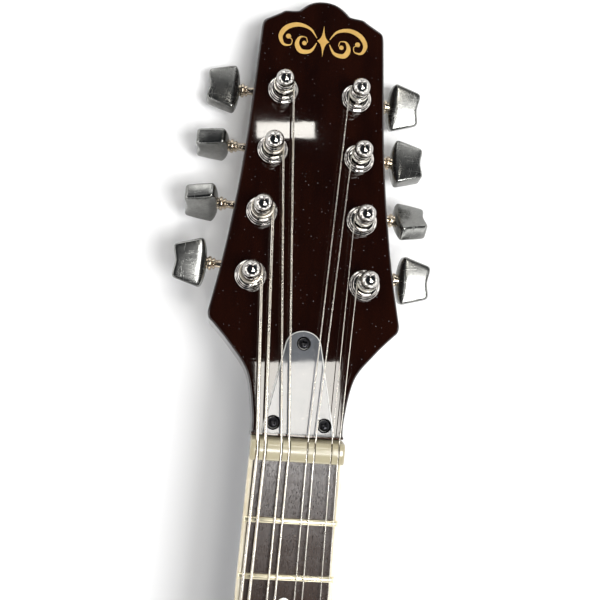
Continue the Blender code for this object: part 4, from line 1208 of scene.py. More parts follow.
    def build_fingerboard(self) -> None:
        """Rosewood board, side bindings, crowned frets and pearl dots."""
        board, length, deep = self.layout.board, self.board_length, self.board_thickness
        near, far = self.nut_half, self.half_width(-length)
        trim = self.binding
        wood = [(near - trim, -0.05), (-near + trim, -0.05), (-far + trim, -length + trim),
                (far - trim, -length + trim)]
        set_down("fingerboard_wood", slab(wood, -deep, 0.0), board, Finishes.ROSEWOOD,
                 stands_for=("fingerboard",))
        strip = [(near, -0.05), (near - trim + 0.02, -0.05), (far - trim + 0.02, -length + trim),
                 (-far + trim - 0.02, -length + trim), (-near + trim - 0.02, -0.05), (-near, -0.05),
                 (-far, -length), (far, -length)]
        binding = slab(strip, -deep, 0.02, 0.18, 0.0, 2)
        set_down("fingerboard_binding", binding, board, Finishes.BINDING)
        set_down("frets", together([self.shape_fret(n) for n in range(1, self.frets + 1)]), board,
                 Finishes.FRET_WIRE, smooth=50)
        dots = []
        for number, x in self.dots:
            middle = (self.fret_place(number) + self.fret_place(number - 1)) / 2
            dots.append(moved(lathe([(0, 0.05), (self.dot_radius - 0.1, 0.05), (self.dot_radius, 0.0),
                                     (self.dot_radius, -1.5), (0, -1.5)], 36), at(x, middle)))
        set_down("position_dots", together(dots), board, Finishes.PEARL)
        side_dots = [moved(rod(0.9, -0.4, 0.06, 20), at(-self.half_width(y), y, -2.4) @ turn(-90, "Y"))
                     for y in ((self.fret_place(n) + self.fret_place(n - 1)) / 2 for n in DOTTED_FRETS)]
        set_down("side_dots", together(side_dots), board, Finishes.SCREW)

    def shape_fret(self, number: int) -> BMesh:
        """A crowned fret, its ends filed at a slope."""
        y = self.fret_place(number)
        half = self.half_width(y) - 0.12
        count, crown = 10, []
        for i in range(count + 1):
            angle = math.pi * i / count
            crown.append((y + self.fret_width / 2 * math.cos(angle),
                          self.fret_height * math.sin(angle) ** 0.8))
        stations = ((-half, 0.3), (-half + 0.25, 0.75), (-half + 0.8, 1.0), (half - 0.8, 1.0),
                    (half - 0.25, 0.75), (half, 0.3))
        rings = [[(x, py, z * share - 0.05) for py, z in crown] + [(x, y - 1.0, -0.3), (x, y + 1.0, -0.3)]
                 for x, share in stations]
        return loft(rings)

    def build_nut(self) -> None:
        """Slotted nut, rounded over its back and its ends."""
        low, high = -self.board_thickness, self.string_at_nut + 1.15
        length, half = self.nut_length, self.nut_half + 0.05
        profile = [(0.0, low), (length, low), (length, 0.2)]
        profile += bezier((length, 0.4), (length, high - 0.1), (length - 1.6, high), (3.2, high), 10)
        profile += [(3.2, high), (0.9, high - 0.12), (0.35, high - 0.35), (0.05, high - 0.8)]
        stations = ((-half, 0.90), (-half + 0.12, 0.955), (-half + 0.4, 0.99), (-half + 0.9, 1.0),
                    (half - 0.9, 1.0), (half - 0.4, 0.99), (half - 0.12, 0.955), (half, 0.90))
        rings = [[(x, length / 2 + (y - length / 2) * share, low + (z - low) * share) for y, z in profile]
                 for x, share in stations]
        slots = []
        fall = math.tan(self.head_tilt)
        for nut_x, _, _, radius in Strings.courses:
            section = [(nut_x + (radius + 0.1) * math.cos(a), (radius + 0.1) * math.sin(a))
                       for a in (math.pi + math.pi * i / 8 for i in range(9))]
            middle = self.string_at_nut + radius
            section += [(nut_x + radius + 0.1, 4.0), (nut_x - radius - 0.1, 4.0)]
            front = prism([(x, -1.0, z + middle) for x, z in section], (0, 1.0 + length / 2, 0))
            reach = length / 2 + 2
            back = prism([(x, length / 2 - 0.01, z + middle) for x, z in section], (0, reach, -reach * fall))
            slots += [front, back]
        nut = carve(loft(rings), slots)
        set_down("slotted_nut", nut, self.layout.board, Finishes.NUT, stands_for=("nut",), smooth=40)

    def build_cover(self) -> None:
        """The bullet-shaped plate over the truss rod's end, and its three screws."""
        head = self.layout.head
        arch = bezier((6.2, 31.6), (5.2, 38.3), (-5.2, 38.3), (-6.2, 31.6), 24)
        outline = [(12.3, 1.9), *arch, (-6.2, 31.6), (-12.3, 1.9)]
        top, ply = 0.1 + self.cover_thickness, self.cover_thickness * 0.55
        seats, rims = [], []
        for _, x, y in self.cover_screws:
            seats.append(moved(lathe([(0, 3.0), (2.9, 3.0), (2.45, top + 0.01), (1.5, 0.35), (0, 0.35)], 36),
                               at(x, y)))
            rims.append(moved(lathe([(2.45, top), (1.55, 0.5), (1.4, 0.5), (1.4, 0.3), (1.6, 0.3),
                                     (2.43, top - 0.2), (2.45, top)], 36), at(x, y)))
        under = slab(outline, 0.1, 0.1 + ply, 0.3, 0.0, 2)
        face = [(x, y if y > 3.0 else 1.93) for x, y in inset(outline, 0.42)]
        upper = slab(face, 0.1 + ply + 0.01, top, 0.12, 0.0, 2)
        set_down("truss_rod_cover_plate", carve(upper, seats), head, Finishes.COVER,
                 stands_for=("truss_rod_cover",), facing=Facing.FLATS_KEPT)
        holes = [moved(rod(1.45, -1, 3, 32), at(x, y)) for _, x, y in self.cover_screws]
        set_down("truss_rod_cover_white_ply", carve(under, holes), head, Finishes.WHITE_PLY)
        set_down("cover_screw_seats", together(rims), head, Finishes.CHROME)
        for i, (name, x, y) in enumerate(self.cover_screws):
            profile = [(0, top + 0.6), (0.7, top + 0.56), (1.3, top + 0.4), (1.65, top + 0.15),
                       (1.85, top - 0.15), (1.1, 0.5), (0.95, 0.3), (0.95, -6.5), (0.2, -8.0), (0, -8.0)]
            cross = []
            for angle in (0, 90):
                arm = loft([[(-w, -t, z), (w, -t, z), (w, t, z), (-w, t, z)]
                            for w, t, z in ((0.4, 0.16, top - 0.9), (1.3, 0.34, top + 1.2))])
                cross.append(moved(arm, turn(angle + 25 + 20 * i, "Z")))
            set_down(f"{name}_head", carve(lathe(profile, 32), cross), head @ at(x, y), Finishes.SCREW,
                     stands_for=(name,))


@dataclass
class HeadOrnament:
    """A plain inlaid scroll near the headstock's top: two pairs of curls about a lozenge."""

    layout: Layout
    centre: Point = (0.0, 145.0)
    thickness: float = 0.05
    curls: tuple[tuple[Point, ...], ...] = (
        ((2.4, 1.0), (5.0, 4.4), (9.4, 5.6), (13.6, 4.0), (15.8, 0.4), (14.6, -2.9), (12.0, -2.9),
         (11.5, -0.9),
         (12.9, 0.0)),
        ((2.4, -1.0), (4.4, -4.4), (8.0, -4.9), (9.6, -2.2), (8.6, 0.6), (6.4, 0.7), (5.8, -1.2)),
    )
    widest: float = 1.9

    def shape_curl(self, points: tuple[Point, ...], side: Side) -> BMesh:
        """A ribbon along a curl, thin at both ends."""
        line = through(list(points), 7)
        bm = bmesh.new()
        edges: list = []
        last = len(line) - 1
        for i, (x, y) in enumerate(line):
            before, after = line[max(0, i - 1)], line[min(last, i + 1)]
            along = Vector((after[0] - before[0], after[1] - before[1])).normalized()
            share = i / last
            swell = math.sin(math.pi * min(1.0, share * 1.25)) ** 1.4
            width = 0.28 + self.widest * swell * (1 - 0.45 * share)
            across = Vector((along.y, -along.x)) * width / 2
            ends = [Vector((side.value * (x + s * across.x), y + s * across.y, 0.0)) for s in (1, -1)]
            if edges:
                grown = bmesh.ops.extrude_edge_only(bm, edges=edges)["geom"]
                edges = [item for item in grown if isinstance(item, bmesh.types.BMEdge)]
                for vert, spot in zip(edges[0].verts, ends):
                    vert.co = spot
            else:
                edges = [bm.edges.new([bm.verts.new(spot) for spot in ends])]
        grown = bmesh.ops.extrude_face_region(bm, geom=list(bm.faces))["geom"]
        lid = [item for item in grown if isinstance(item, bmesh.types.BMVert)]
        bmesh.ops.translate(bm, vec=(0, 0, self.thickness), verts=lid)
        bmesh.ops.recalc_face_normals(bm, faces=bm.faces)
        return bm

    def build(self) -> None:
        """Set the inlay down on the headstock's face."""
        shapes = [self.shape_curl(points, side) for points in self.curls for side in Side]
        for x, y, radius in ((12.9, 0.4, 0.95), (6.9, -1.6, 0.85)):
            shapes += [moved(rod(radius, 0, self.thickness, 24), at(side.value * x, y)) for side in Side]
        quarter = bezier((0.0, 6.4), (0.35, 2.2), (0.8, 0.9), (2.3, 0.0), 8)
        lozenge = quarter + [(2.3, 0.0)] + [(x, -y) for x, y in reversed(quarter)]
        shapes.append(slab(lozenge + [(-x, y) for x, y in reversed(lozenge) if x > 0.01], 0, self.thickness))
        place = self.layout.head @ at(*self.centre) @ at(0, 0, 0.02)
        set_down("headstock_scroll", together(shapes), place, Finishes.GOLD)


# ------------------------------------------------------------------ tuners


@dataclass
class Tuners:
    """Two rows of four geared tuners."""

    layout: Layout
    head_thickness: float = 13.5
    gap: float = 0.3
    plate_thickness: float = 1.2
    post_radius: float = 3.0
    gear_radius: float = 4.4
    gear_teeth: int = 15
    worm_offset: float = 7.3
    worm_depth: float = -17.5
    shaft_radius: float = 1.5
    button_start: float = 16.2
    button_thickness: float = 6.8
    button_round: float = 0.85
    button_swell: float = 0.4
    rest_turns: dict = field(default_factory=lambda: {
        Side.BASS: (18, 75, 89, -3), Side.TREBLE: (13, -40, -5, 20)})
    button_half: tuple[Point, ...] = (
        (-0.62, 0.0), (-0.58, 1.6), (-0.45, 3.4), (-0.15, 5.2), (0.3, 6.9), (0.75, 8.0), (1.15, 8.6),
        (1.7, 8.9),
        (2.4, 8.82), (3.4, 8.5), (6.9, 7.45), (10.2, 6.45), (11.0, 6.05), (11.42, 5.4), (11.45, 4.6),
        (11.25, 3.4), (10.95, 2.1), (10.75, 1.0), (10.68, 0.0))

    @property
    def plate_top(self) -> float:
        """Height of the tuner plate's face against the headstock's back."""
        return -self.head_thickness - self.gap

    def build(self) -> None:
        """Set down every tuner."""
        for side in Side:
            self.build_plate(side)
            for number in range(4):
                self.build_bushing(side, number)
                self.build_post(side, number)
                self.build_button(side, number)

    def build_plate(self, side: Side) -> None:
        """The strip under the headstock, its bearing lugs and its screws."""
        lean = self.layout.post_x_step / self.layout.post_pitch
        first, last = -9.0, self.layout.post_pitch * 3 + 15.0
        strip = []
        for y, direction in ((first, 1), (last, -1)):
            for dx in (-6.8, 6.8) if direction > 0 else (6.8, -6.8):
                corner = Vector((self.layout.post_x + lean * y + dx, self.layout.post_y + y))
                strip.append((side.value * corner.x, corner.y))
        middle = self.plate_top - self.plate_thickness / 2
        plate = slab(strip, self.plate_top - self.plate_thickness, self.plate_top, 0.0, 0.3, 2)
        lugs, bores = [], []
        for number in range(4):
            x, y = self.layout.post(side, number)
            worm_y = y + self.worm_offset
            for inner, outer in ((-6.0, -4.8), (4.8, 6.0)):
                low_x, high_x = sorted((x + side.value * inner, x + side.value * outer))
                lugs.append(block((low_x, worm_y - 3.2, self.worm_depth - 3.2),
                                  (high_x, worm_y + 3.2, middle), 0.35))
            bores.append(moved(rod(self.shaft_radius + 0.3, -8, 8, 24),
                               at(x, worm_y, self.worm_depth) @ turn(90, "Y")))
            bores.append(moved(rod(self.post_radius + 0.3, -25, -8, 32), at(x, y)))
        plate = carve(carve(plate, lugs, "UNION"), bores)
        set_down(f"{side.label}_plate", plate, self.layout.head, Finishes.CHROME,
                 stands_for=(f"{side.label}_tuner_plate",))
        screws = []
        for number in range(5):
            inset = (4.4, 2.6, 2.6, 2.6, 1.6)[number]
            y = self.layout.post_pitch * (number - 0.5) + inset
            spot = at(side.value * (self.layout.post_x + lean * y - 4.2), self.layout.post_y + y,
                      self.plate_top - self.plate_thickness) @ turn(180, "X")
            head = lathe([(0, 0.8), (0.9, 0.75), (1.5, 0.45), (1.75, 0.0), (0, 0.0)], 24)
            slot = block((-2.2, -0.2, 0.4), (2.2, 0.2, 2.0))
            screws.append(moved(carve(head, [moved(slot, turn(37 * number, "Z"))]), spot))
        set_down(f"{side.label}_plate_screws", together(screws), self.layout.head, Finishes.CHROME)

    def build_bushing(self, side: Side, number: int) -> None:
        """Stepped and domed bushing round a post."""
        profile = [(3.35, 3.0), (3.75, 3.0), (4.1, 2.88), (4.4, 2.6), (4.55, 2.2), (4.62, 1.75), (4.85, 1.55),
                   (5.15, 1.48), (5.38, 1.25), (5.5, 0.9), (5.5, 0.35), (5.4, 0.05), (4.25, 0.05),
                   (4.25, -11.0), (3.35, -11.0), (3.35, 3.0)]
        set_down(f"{side.label}_{number + 1}_collar", lathe(profile, 56),
                 self.layout.head @ at(*self.layout.post(side, number)), Finishes.CHROME,
                 stands_for=(f"{side.label}_{number + 1}_bushing",), smooth=50)

    def build_post(self, side: Side, number: int) -> None:
        """String post with a ball cap above and a toothed gear below."""
        name = f"{side.label}_{number + 1}"
        place = self.layout.head @ at(*self.layout.post(side, number))
        gear_top = self.plate_top - self.plate_thickness - self.gap
        profile = [(0, 12.6), (0.7, 12.55), (1.4, 12.35), (2.05, 11.98), (2.6, 11.45), (3.0, 10.8),
                   (3.23, 10.2), (3.3, 9.75), (3.24, 9.3), (3.0, 8.95), (2.65, 8.75), (2.42, 8.5),
                   (2.32, 8.1), (2.3, 7.5),
                   (2.45, 7.15), (2.8, 7.0), (3.0, 6.75), (3.0, 3.4), (3.0, gear_top), (1.6, gear_top),
                   (1.6, gear_top - 3.3), (0, gear_top - 3.3)]
        body = f"{name}_winder"
        set_down(f"{name}_capstan", lathe(profile, 48), place, Finishes.CHROME, body,
                 stands_for=(f"{name}_post",), smooth=50)
        gear = slab(toothed(self.gear_radius, 0.9, self.gear_teeth), gear_top - 2.9, gear_top - 0.1,
                    0.25, 0.25, 2)
        set_down(f"{name}_gear", gear, place, Finishes.BRASS, body)
        head = lathe([(0, 0.0), (2.3, 0.0), (2.3, -0.5), (1.9, -0.85), (0, -0.95)], 32)
        slot = block((-3, -0.3, -1.6), (3, 0.3, -0.45))
        set_down(f"{name}_gear_screw", carve(head, [slot]), place @ at(0, 0, gear_top - 2.9),
                 Finishes.CHROME, body)

    def build_button(self, side: Side, number: int) -> None:
        """Worm, shaft and grip of one button."""
        x, y = self.layout.post(side, number)
        name, body = f"{side.label}_{number + 1}", f"{side.label}_{number + 1}_knob"
        place = (self.layout.head @ at(x, y + self.worm_offset, self.worm_depth)
                 @ turn(self.rest_turns[side][number], "X"))
        if side is Side.BASS:
            place = place @ turn(180, "Z")
        start, thin = self.button_start, self.shaft_radius
        profile = [(0, start + 1.5), (1.9, start + 1.5), (2.1, start - 0.9), (2.3, start - 1.1),
                   (2.55, start - 1.3), (2.62, start - 1.7), (2.55, start - 2.1), (2.2, start - 2.35),
                   (1.75, start - 2.5), (1.8, start - 2.7), (2.05, start - 2.85), (2.12, start - 3.15),
                   (2.05, start - 3.45), (1.7, start - 3.65), (1.4, start - 3.9), (1.4, start - 4.6),
                   (1.62, 9.6), (thin, 9.2), (thin, 4.4), (1.9, 4.3), (1.9, -4.3),
                   (thin, -4.4), (thin, -7.0), (0, -7.0)]
        shaft_place = place @ turn(90, "Y")
        set_down(f"{name}_shaft", lathe(profile, 36), shaft_place, Finishes.SHAFT, body)
        turns, radius = 5, 1.95
        thread = helix(radius, turns, -4.0, 8.0, 120)
        set_down(f"{name}_worm", wire(thread, 0.36, 1), shaft_place, Finishes.SHAFT, body)
        half = list(self.button_half)
        outline = [(px, -py) for px, py in half] + [(px, py) for px, py in reversed(half) if 0.01 < py]
        set_down(f"{name}_grip", self.shape_grip(outline), place @ at(start, 0), Finishes.BUTTON, body,
                 stands_for=(f"{name}_button",), smooth=50)

    def shape_grip(self, outline: list[Point]) -> BMesh:
        """A grip with rounded rims and slightly swelling faces, drawn in towards its shaft."""
        half, rounding, swell = self.button_thickness / 2, self.button_round, self.button_swell
        middle = Vector((5.2, 0.0))

        def face(x: float, y: float) -> float:
            """Height of the swelling face."""
            return half - swell * (0.5 * ((x - middle.x) / 6.0) ** 2 + (y / 8.5) ** 2)

        rings = []
        for i in range(5):
            angle = math.pi / 2 * i / 4
            ring = inset(outline, rounding * (1 - math.cos(angle)))
            rings.append([(x, y, face(x, y) - rounding * (1 - math.sin(angle))) for x, y in ring])
        rim = inset(outline, rounding)
        for share in (0.85, 0.65, 0.45, 0.25, 0.1):
            spots = [middle + (Vector(point) - middle) * share for point in rim]
            rings.append([(spot.x, spot.y, face(spot.x, spot.y)) for spot in spots])
        lower = [[(x, y, -z) for x, y, z in ring] for ring in reversed(rings)]
        grip = loft(lower + rings)
        for vert in grip.verts:
            near = max(0.0, 1.0 - max(0.0, vert.co.x + 0.6) / 2.6)
            vert.co.z *= 1.0 - 0.42 * near**1.6
        return grip


# ------------------------------------------------------------------ strings


@dataclass
class Strings:
    """Eight strings in four courses, with their turns round the posts."""

    layout: Layout
    scale_length: float = 352.0
    at_nut: float = 1.45
    at_bridge: float = 3.75
    at_post: float = 4.9
    nut_length: float = 6.8
    post_radius: float = 3.0
    gap: float = 0.3
    hook_y: float = 46.5
    names: tuple[str, ...] = ("g1", "g2", "d1", "d2", "a1", "a2", "e1", "e2")
    # at the nut, at the bridge, at the tailpiece, radius
    courses = (
        (-13.15, -20.8, -15.0, 0.50), (-10.65, -17.6, -12.0, 0.50), (-5.40, -8.0, -6.2, 0.34),
        (-2.90, -4.8, -3.2, 0.34), (3.00, 4.8, 3.2, 0.20), (5.40, 8.0, 6.2, 0.20),
        (10.90, 17.6, 12.0, 0.15), (13.30, 20.8, 15.0, 0.15))

    def post_of(self, number: int) -> tuple[Side, int]:
        """The side and number of the post that a string winds on."""
        return (Side.BASS, number) if number < 4 else (Side.TREBLE, 7 - number)

    def build(self) -> None:
        """Set down each string and its turns."""
        for number, name in enumerate(self.names):
            self.build_string(number, name)

    def build_string(self, number: int, name: str) -> None:
        """One string from its hook to its post, and the turns round the post."""
        nut_x, bridge_x, tail_x, radius = self.courses[number]
        side, post = self.post_of(number)
        post_x, post_y = self.layout.post(side, post)
        finish = Finishes.WOUND_WIRE if name[0] in "gd" else Finishes.PLAIN_WIRE
        reach = self.post_radius + radius + 0.12
        slope = (self.at_bridge - self.at_nut) / self.scale_length
        height = self.at_nut + radius
        board, head, tail = self.layout.board, self.layout.head, self.layout.tail
        leave = head @ Vector((post_x - side.value * reach, post_y, self.at_post))
        route = [tail @ Vector((tail_x, self.hook_y + self.gap, 3.4)),
                 board @ Vector((bridge_x, -self.scale_length - 1.0, self.at_bridge + radius - 0.25)),
                 board @ Vector((bridge_x, -self.scale_length, self.at_bridge + radius)),
                 board @ Vector((nut_x, 0.0, height)),
                 board @ Vector((nut_x, self.nut_length / 2 - 0.4, height - slope * 3.0)),
                 board @ Vector((nut_x, self.nut_length / 2 + 0.4, height - slope * 3.4 - 0.05)), leave]
        line = [tuple(spot) for start, end in zip(route, route[1:]) for spot in self.cut(start, end)]
        line.append(tuple(leave))
        set_down(f"string_{name}_wire", wire(line, radius, 3), Matrix.Identity(4), finish,
                 stands_for=(f"string_{name}",), smooth=60)
        self.build_turns(name, side, post, radius, finish)
        self.build_tail_loop(name, tail_x, radius)

    @staticmethod
    def cut(start: Vector, end: Vector) -> list[Vector]:
        """Points every few centimetres between two places, the end left out."""
        count = max(1, round((end - start).length / 40.0))
        return [start.lerp(end, i / count) for i in range(count)]

    def build_turns(self, name: str, side: Side, post: int, radius: float, finish: Finish) -> None:
        """The turns of string round a post, ending in the post's hole."""
        reach = self.post_radius + radius + 0.12
        rise = 6.75 - radius - self.at_post
        turns = max(1.35, rise / (2.06 * radius))
        turns = math.floor(turns) + 0.35
        start = 0.0 if side is Side.BASS else math.pi
        steps = int(turns * 28)
        line = []
        for i in range(steps + 1):
            angle = start - side.value * 2 * math.pi * turns * i / steps
            line.append((reach * math.cos(angle), reach * math.sin(angle),
                         self.at_post + min(rise, 2.06 * radius * turns) * i / steps))
        line.append((line[-1][0] * 0.3, line[-1][1] * 0.3, line[-1][2]))
        place = self.layout.head @ at(*self.layout.post(side, post))
        set_down(f"string_{name}_turns", wire(line, radius, 2), place, finish,
                 f"{side.label}_{post + 1}_winder", smooth=60)

    def build_tail_loop(self, name: str, tail_x: float, radius: float) -> None:
        """The twisted loop that holds a string to its hook."""
        hook_y, height = self.hook_y, 3.4
        eye = [(tail_x + 0.95 * math.sin(a), hook_y - 2.9 - 1.3 * math.cos(a), height + 2.3)
               for a in (2 * math.pi * i / 28 for i in range(29))]
        thin = min(radius, 0.17)
        twist = [(tail_x + (radius + thin) * math.cos(a), hook_y + 0.6 + 7.0 * i / 90,
                  height + (radius + thin) * math.sin(a))
                 for i, a in enumerate(2 * math.pi * 9 * i / 90 for i in range(91))]
        legs = [[(tail_x + 0.4 * s, hook_y - 1.7, height + 2.3),
                 (tail_x + 0.3 * s, hook_y - 0.2, height + 2.0),
                 (tail_x, hook_y + 0.7, height)] for s in (-1, 1)]
        parts = [wire(twist, thin, 1), wire(eye, thin, 1), *[wire(leg, thin, 1) for leg in legs]]
        set_down(f"string_{name}_loop", together(parts), self.layout.tail, Finishes.PLAIN_WIRE, smooth=60)


# ------------------------------------------------------------------ bridge and tailpiece


@dataclass
class Bridge:
    """Adjustable bridge: footed base, saddle, studs and thumbwheels."""

    layout: Layout
    body: Body
    half_length: float = 56.0
    width: float = 11.0
    saddle_half: float = 43.0
    saddle_height: float = 7.8
    stud_x: float = 32.0
    stud_radius: float = 1.7
    wheel_radius: float = 6.0
    wheel_thickness: float = 2.0
    wheel_teeth: int = 36
    gap: float = 0.3

    def build(self) -> None:
        """Set down the bridge's pieces."""
        spot = self.layout.board @ Vector((0, -352.0, 3.8))
        top = spot.z - self.gap - 0.1
        base_top = top - self.saddle_height - self.gap - self.wheel_thickness - 2.2
        self.build_base(spot.y, base_top)
        self.build_saddle(spot, top)
        for side in Side:
            place = at(side.value * self.stud_x, spot.y)
            under = top - self.saddle_height
            stud = carve(rod(self.stud_radius - 0.25, base_top - 4.2, under + 3.4, 28),
                         [self.shape_thread(base_top - 4.0, under + 3.2)], "UNION")
            set_down(f"{side.label}_threaded_stud", stud, place, Finishes.BRASS,
                     stands_for=(f"{side.label}_bridge_stud",))
            high = under - self.gap
            wheel = slab(toothed(self.wheel_radius, 0.35, self.wheel_teeth),
                         high - self.wheel_thickness, high,
                         0.3, 0.3, 2)
            wheel = carve(wheel, [rod(self.stud_radius + 0.3, high - 5, high + 5)])
            set_down(f"{side.label}_knurled_wheel", wheel, place, Finishes.BRASS, f"{side.label}_wheel",
                     stands_for=(f"{side.label}_thumbwheel",))

    def shape_thread(self, low: float, high: float) -> BMesh:
        """The screw thread of a stud."""
        turns = int((high - low) / 0.7)
        steps = turns * 16
        reach = self.stud_radius - 0.3
        return wire(helix(reach, turns, low, high - low, steps), 0.24, 1)

    def build_base(self, y: float, base_top: float) -> None:
        """Base that follows the carved top on two long feet."""
        rings = []
        count = 44
        for i in range(count + 1):
            x = -self.half_length + 2 * self.half_length * i / count
            half = self.width / 2
            low = max(self.body.height(x, y - half), self.body.height(x, y + half)) + 0.1
            share = min(1.0, max(0.0, (self.half_length - abs(x)) / 16.0))
            high = low + 2.5 + (base_top - low - 2.5) * math.sin(share * math.pi / 2)
            if abs(x) < 20:
                low += 2.0 * math.cos(math.pi * x / 40) ** 2
            rings.append([(x, y - half, low), (x, y + half, low), (x, y + half, high - 1.4),
                          (x, y + half - 0.7, high - 0.4), (x, y + half - 2.2, high),
                          (x, y - half + 2.2, high),
                          (x, y - half + 0.7, high - 0.4), (x, y - half, high - 1.4)])
        holes = [moved(rod(self.stud_radius + 0.3, base_top - 4.6, base_top + 5),
                       at(side.value * self.stud_x, y))
                 for side in Side]
        set_down("bridge_foot", carve(loft(rings), holes), Matrix.Identity(4), Finishes.BRIDGE_WOOD,
                 stands_for=("bridge_base",))

    def build_saddle(self, spot: Vector, top: float) -> None:
        """Saddle with a stepped crest and a notch for each string."""
        y, low = spot.y, top - self.saddle_height
        crest = top + 0.75
        rings = []
        count = 44
        for i in range(count + 1):
            x = -self.saddle_half + 2 * self.saddle_half * i / count
            reach = max(0.0, (abs(x) - 25.0) / (self.saddle_half - 25.0))
            high = crest - 4.0 * reach**2
            shift = 0.55 if 10 < abs(x) < 19 or abs(x) < 0.5 else -0.35 if 2.5 < abs(x) < 10 else 0.1
            rings.append([(x, y - 3.5, low), (x, y + 3.5, low), (x, y + 3.3, low + 3.0),
                          (x, y + 1.3 + shift, high - 0.45), (x, y + 0.7 + shift, high),
                          (x, y - 0.7 + shift, high), (x, y - 1.3 + shift, high - 0.45),
                          (x, y - 3.3, low + 3.0)])
        cutters = [moved(rod(self.stud_radius + 0.3, low - 3, low + 5.4), at(side.value * self.stud_x, y))
                   for side in Side]
        for _, bridge_x, _, radius in Strings.courses:
            height = spot.z + radius
            notch = slab([(radius + 0.12, 0), (radius + 0.3, 3), (-radius - 0.3, 3), (-radius - 0.12, 0),
                          (-radius * 0.6, -radius - 0.05), (radius * 0.6, -radius - 0.05)], -8, 8)
            cutters.append(moved(notch, at(bridge_x, y, height) @ turn(90, "X")))
        set_down("notched_saddle", carve(loft(rings), cutters), Matrix.Identity(4),
                 Finishes.BRIDGE_WOOD, "saddle",
                 stands_for=("bridge_saddle",))


@dataclass
class Tailpiece:
    """Folded plate with hooks, and the cover that slides on over it."""

    layout: Layout
    half_width: float = 18.0
    hook_y: float = 46.5
    flange_low: float = 33.0
    roof: float = 7.0
    body_half: float = 175.0

    def build(self) -> None:
        """Set down the plate with its hooks, its screws and its cover."""
        half, tail = self.half_width, self.layout.tail
        corners = through([(half, -1.5), (half, 40.0), (half, 54.0), (half - 2.0, 58.5),
                           (half - 6.0, 60.0)], 4)
        outline = corners + [(-x, y) for x, y in reversed(corners)]
        plate = slab(outline, 0.0, 1.5, 0.4, 0.2, 2)
        bar = block((-half + 0.5, self.hook_y - 4.0, 1.0), (half - 0.5, self.hook_y, 4.6), 0.6)
        flange = block((-half, -self.body_half - 1.8, self.flange_low),
                       (half, -self.body_half - 0.4, 62.4), 0.35)
        solid = carve(plate, [bar, moved(flange, tail.inverted())], "UNION")
        set_down("tail_plate", solid, tail, Finishes.CHROME, stands_for=("tailpiece",))
        hooks = []
        for _, _, tail_x, _ in Strings.courses:
            line = through([(tail_x, self.hook_y - 1.2, 3.6), (tail_x, self.hook_y - 2.2, 5.3),
                            (tail_x, self.hook_y - 3.6, 6.1), (tail_x, self.hook_y - 5.4, 6.3)], 5)
            hooks.append(wire(line, 0.55, 2))
        set_down("string_hooks", together(hooks), tail, Finishes.CHROME)
        screws = []
        for x, z in ((-11.0, 52.0), (11.0, 52.0), (0.0, 40.0)):
            head = lathe([(0, 1.15), (1.2, 1.05), (2.2, 0.6), (2.6, 0.0), (0, 0.0)], 28)
            slot = block((-3.2, -0.25, 0.5), (3.2, 0.25, 3.0))
            head = carve(head, [moved(slot, turn(30 + 4 * x, "Z"))])
            screws.append(moved(head, at(x, -self.body_half - 1.8, z) @ turn(90, "X")))
        set_down("tail_screws", together(screws), Matrix.Identity(4), Finishes.CHROME)
        self.build_cover()

    def build_cover(self) -> None:
        """Channel-shaped cover with two raised lines along it."""
        inner, outer, roof = self.half_width + 0.5, self.half_width + 1.7, self.roof
        corner = bezier((outer, roof - 1.2), (outer, roof + 0.6), (outer - 0.6, roof + 1.3),
                        (inner - 2.2, roof + 1.45), 8)
        top = [(14.2, roof + 1.5), (13.7, roof + 1.85), (12.9, roof + 1.85), (12.4, roof + 1.52),
               (6.0, roof + 1.72)]
        half = [(inner, roof), (inner, 0.05), (outer, 0.05), *corner, *top, (0.0, roof + 1.8)]
        outline = half + [(-x, z) for x, z in reversed(half) if x > 0.01]
        cover = slab(outline, -63.0, 3.0, 0.25, 0.25, 2)
        set_down("sliding_cover", moved(cover, turn(90, "X")), self.layout.tail, Finishes.CHROME,
                 "tail_cover", stands_for=("tailpiece_cover",), smooth=28, facing=Facing.FLATS_KEPT)


# ------------------------------------------------------------------ studio


@dataclass(frozen=True)
class Softbox:
    """A rectangular lamp."""

    name: str
    watts: float
    width: float
    height: float
    colour: Colour = (1.0, 1.0, 1.0)

    def place_at(self, spot: Vector, across: Vector, out: Vector) -> None:
        """Put the lamp at a spot in metres.

        Args:
            spot: its middle.
            across: the direction of its width.
            out: the direction from what it lights towards it.
        """
        lamp = bpy.data.lights.new(self.name, "AREA")
        lamp.shape, lamp.size, lamp.size_y, lamp.energy = "RECTANGLE", self.width, self.height, self.watts
        lamp.color = self.colour
        obj = bpy.data.objects.new(self.name, lamp)
        z = out.normalized()
        x = (across - z * across.dot(z)).normalized()
        obj.matrix_world = Matrix.Translation(spot) @ Matrix((x, z.cross(x), z)).transposed().to_4x4()
        obj.visible_camera = False
        bpy.context.scene.collection.objects.link(obj)


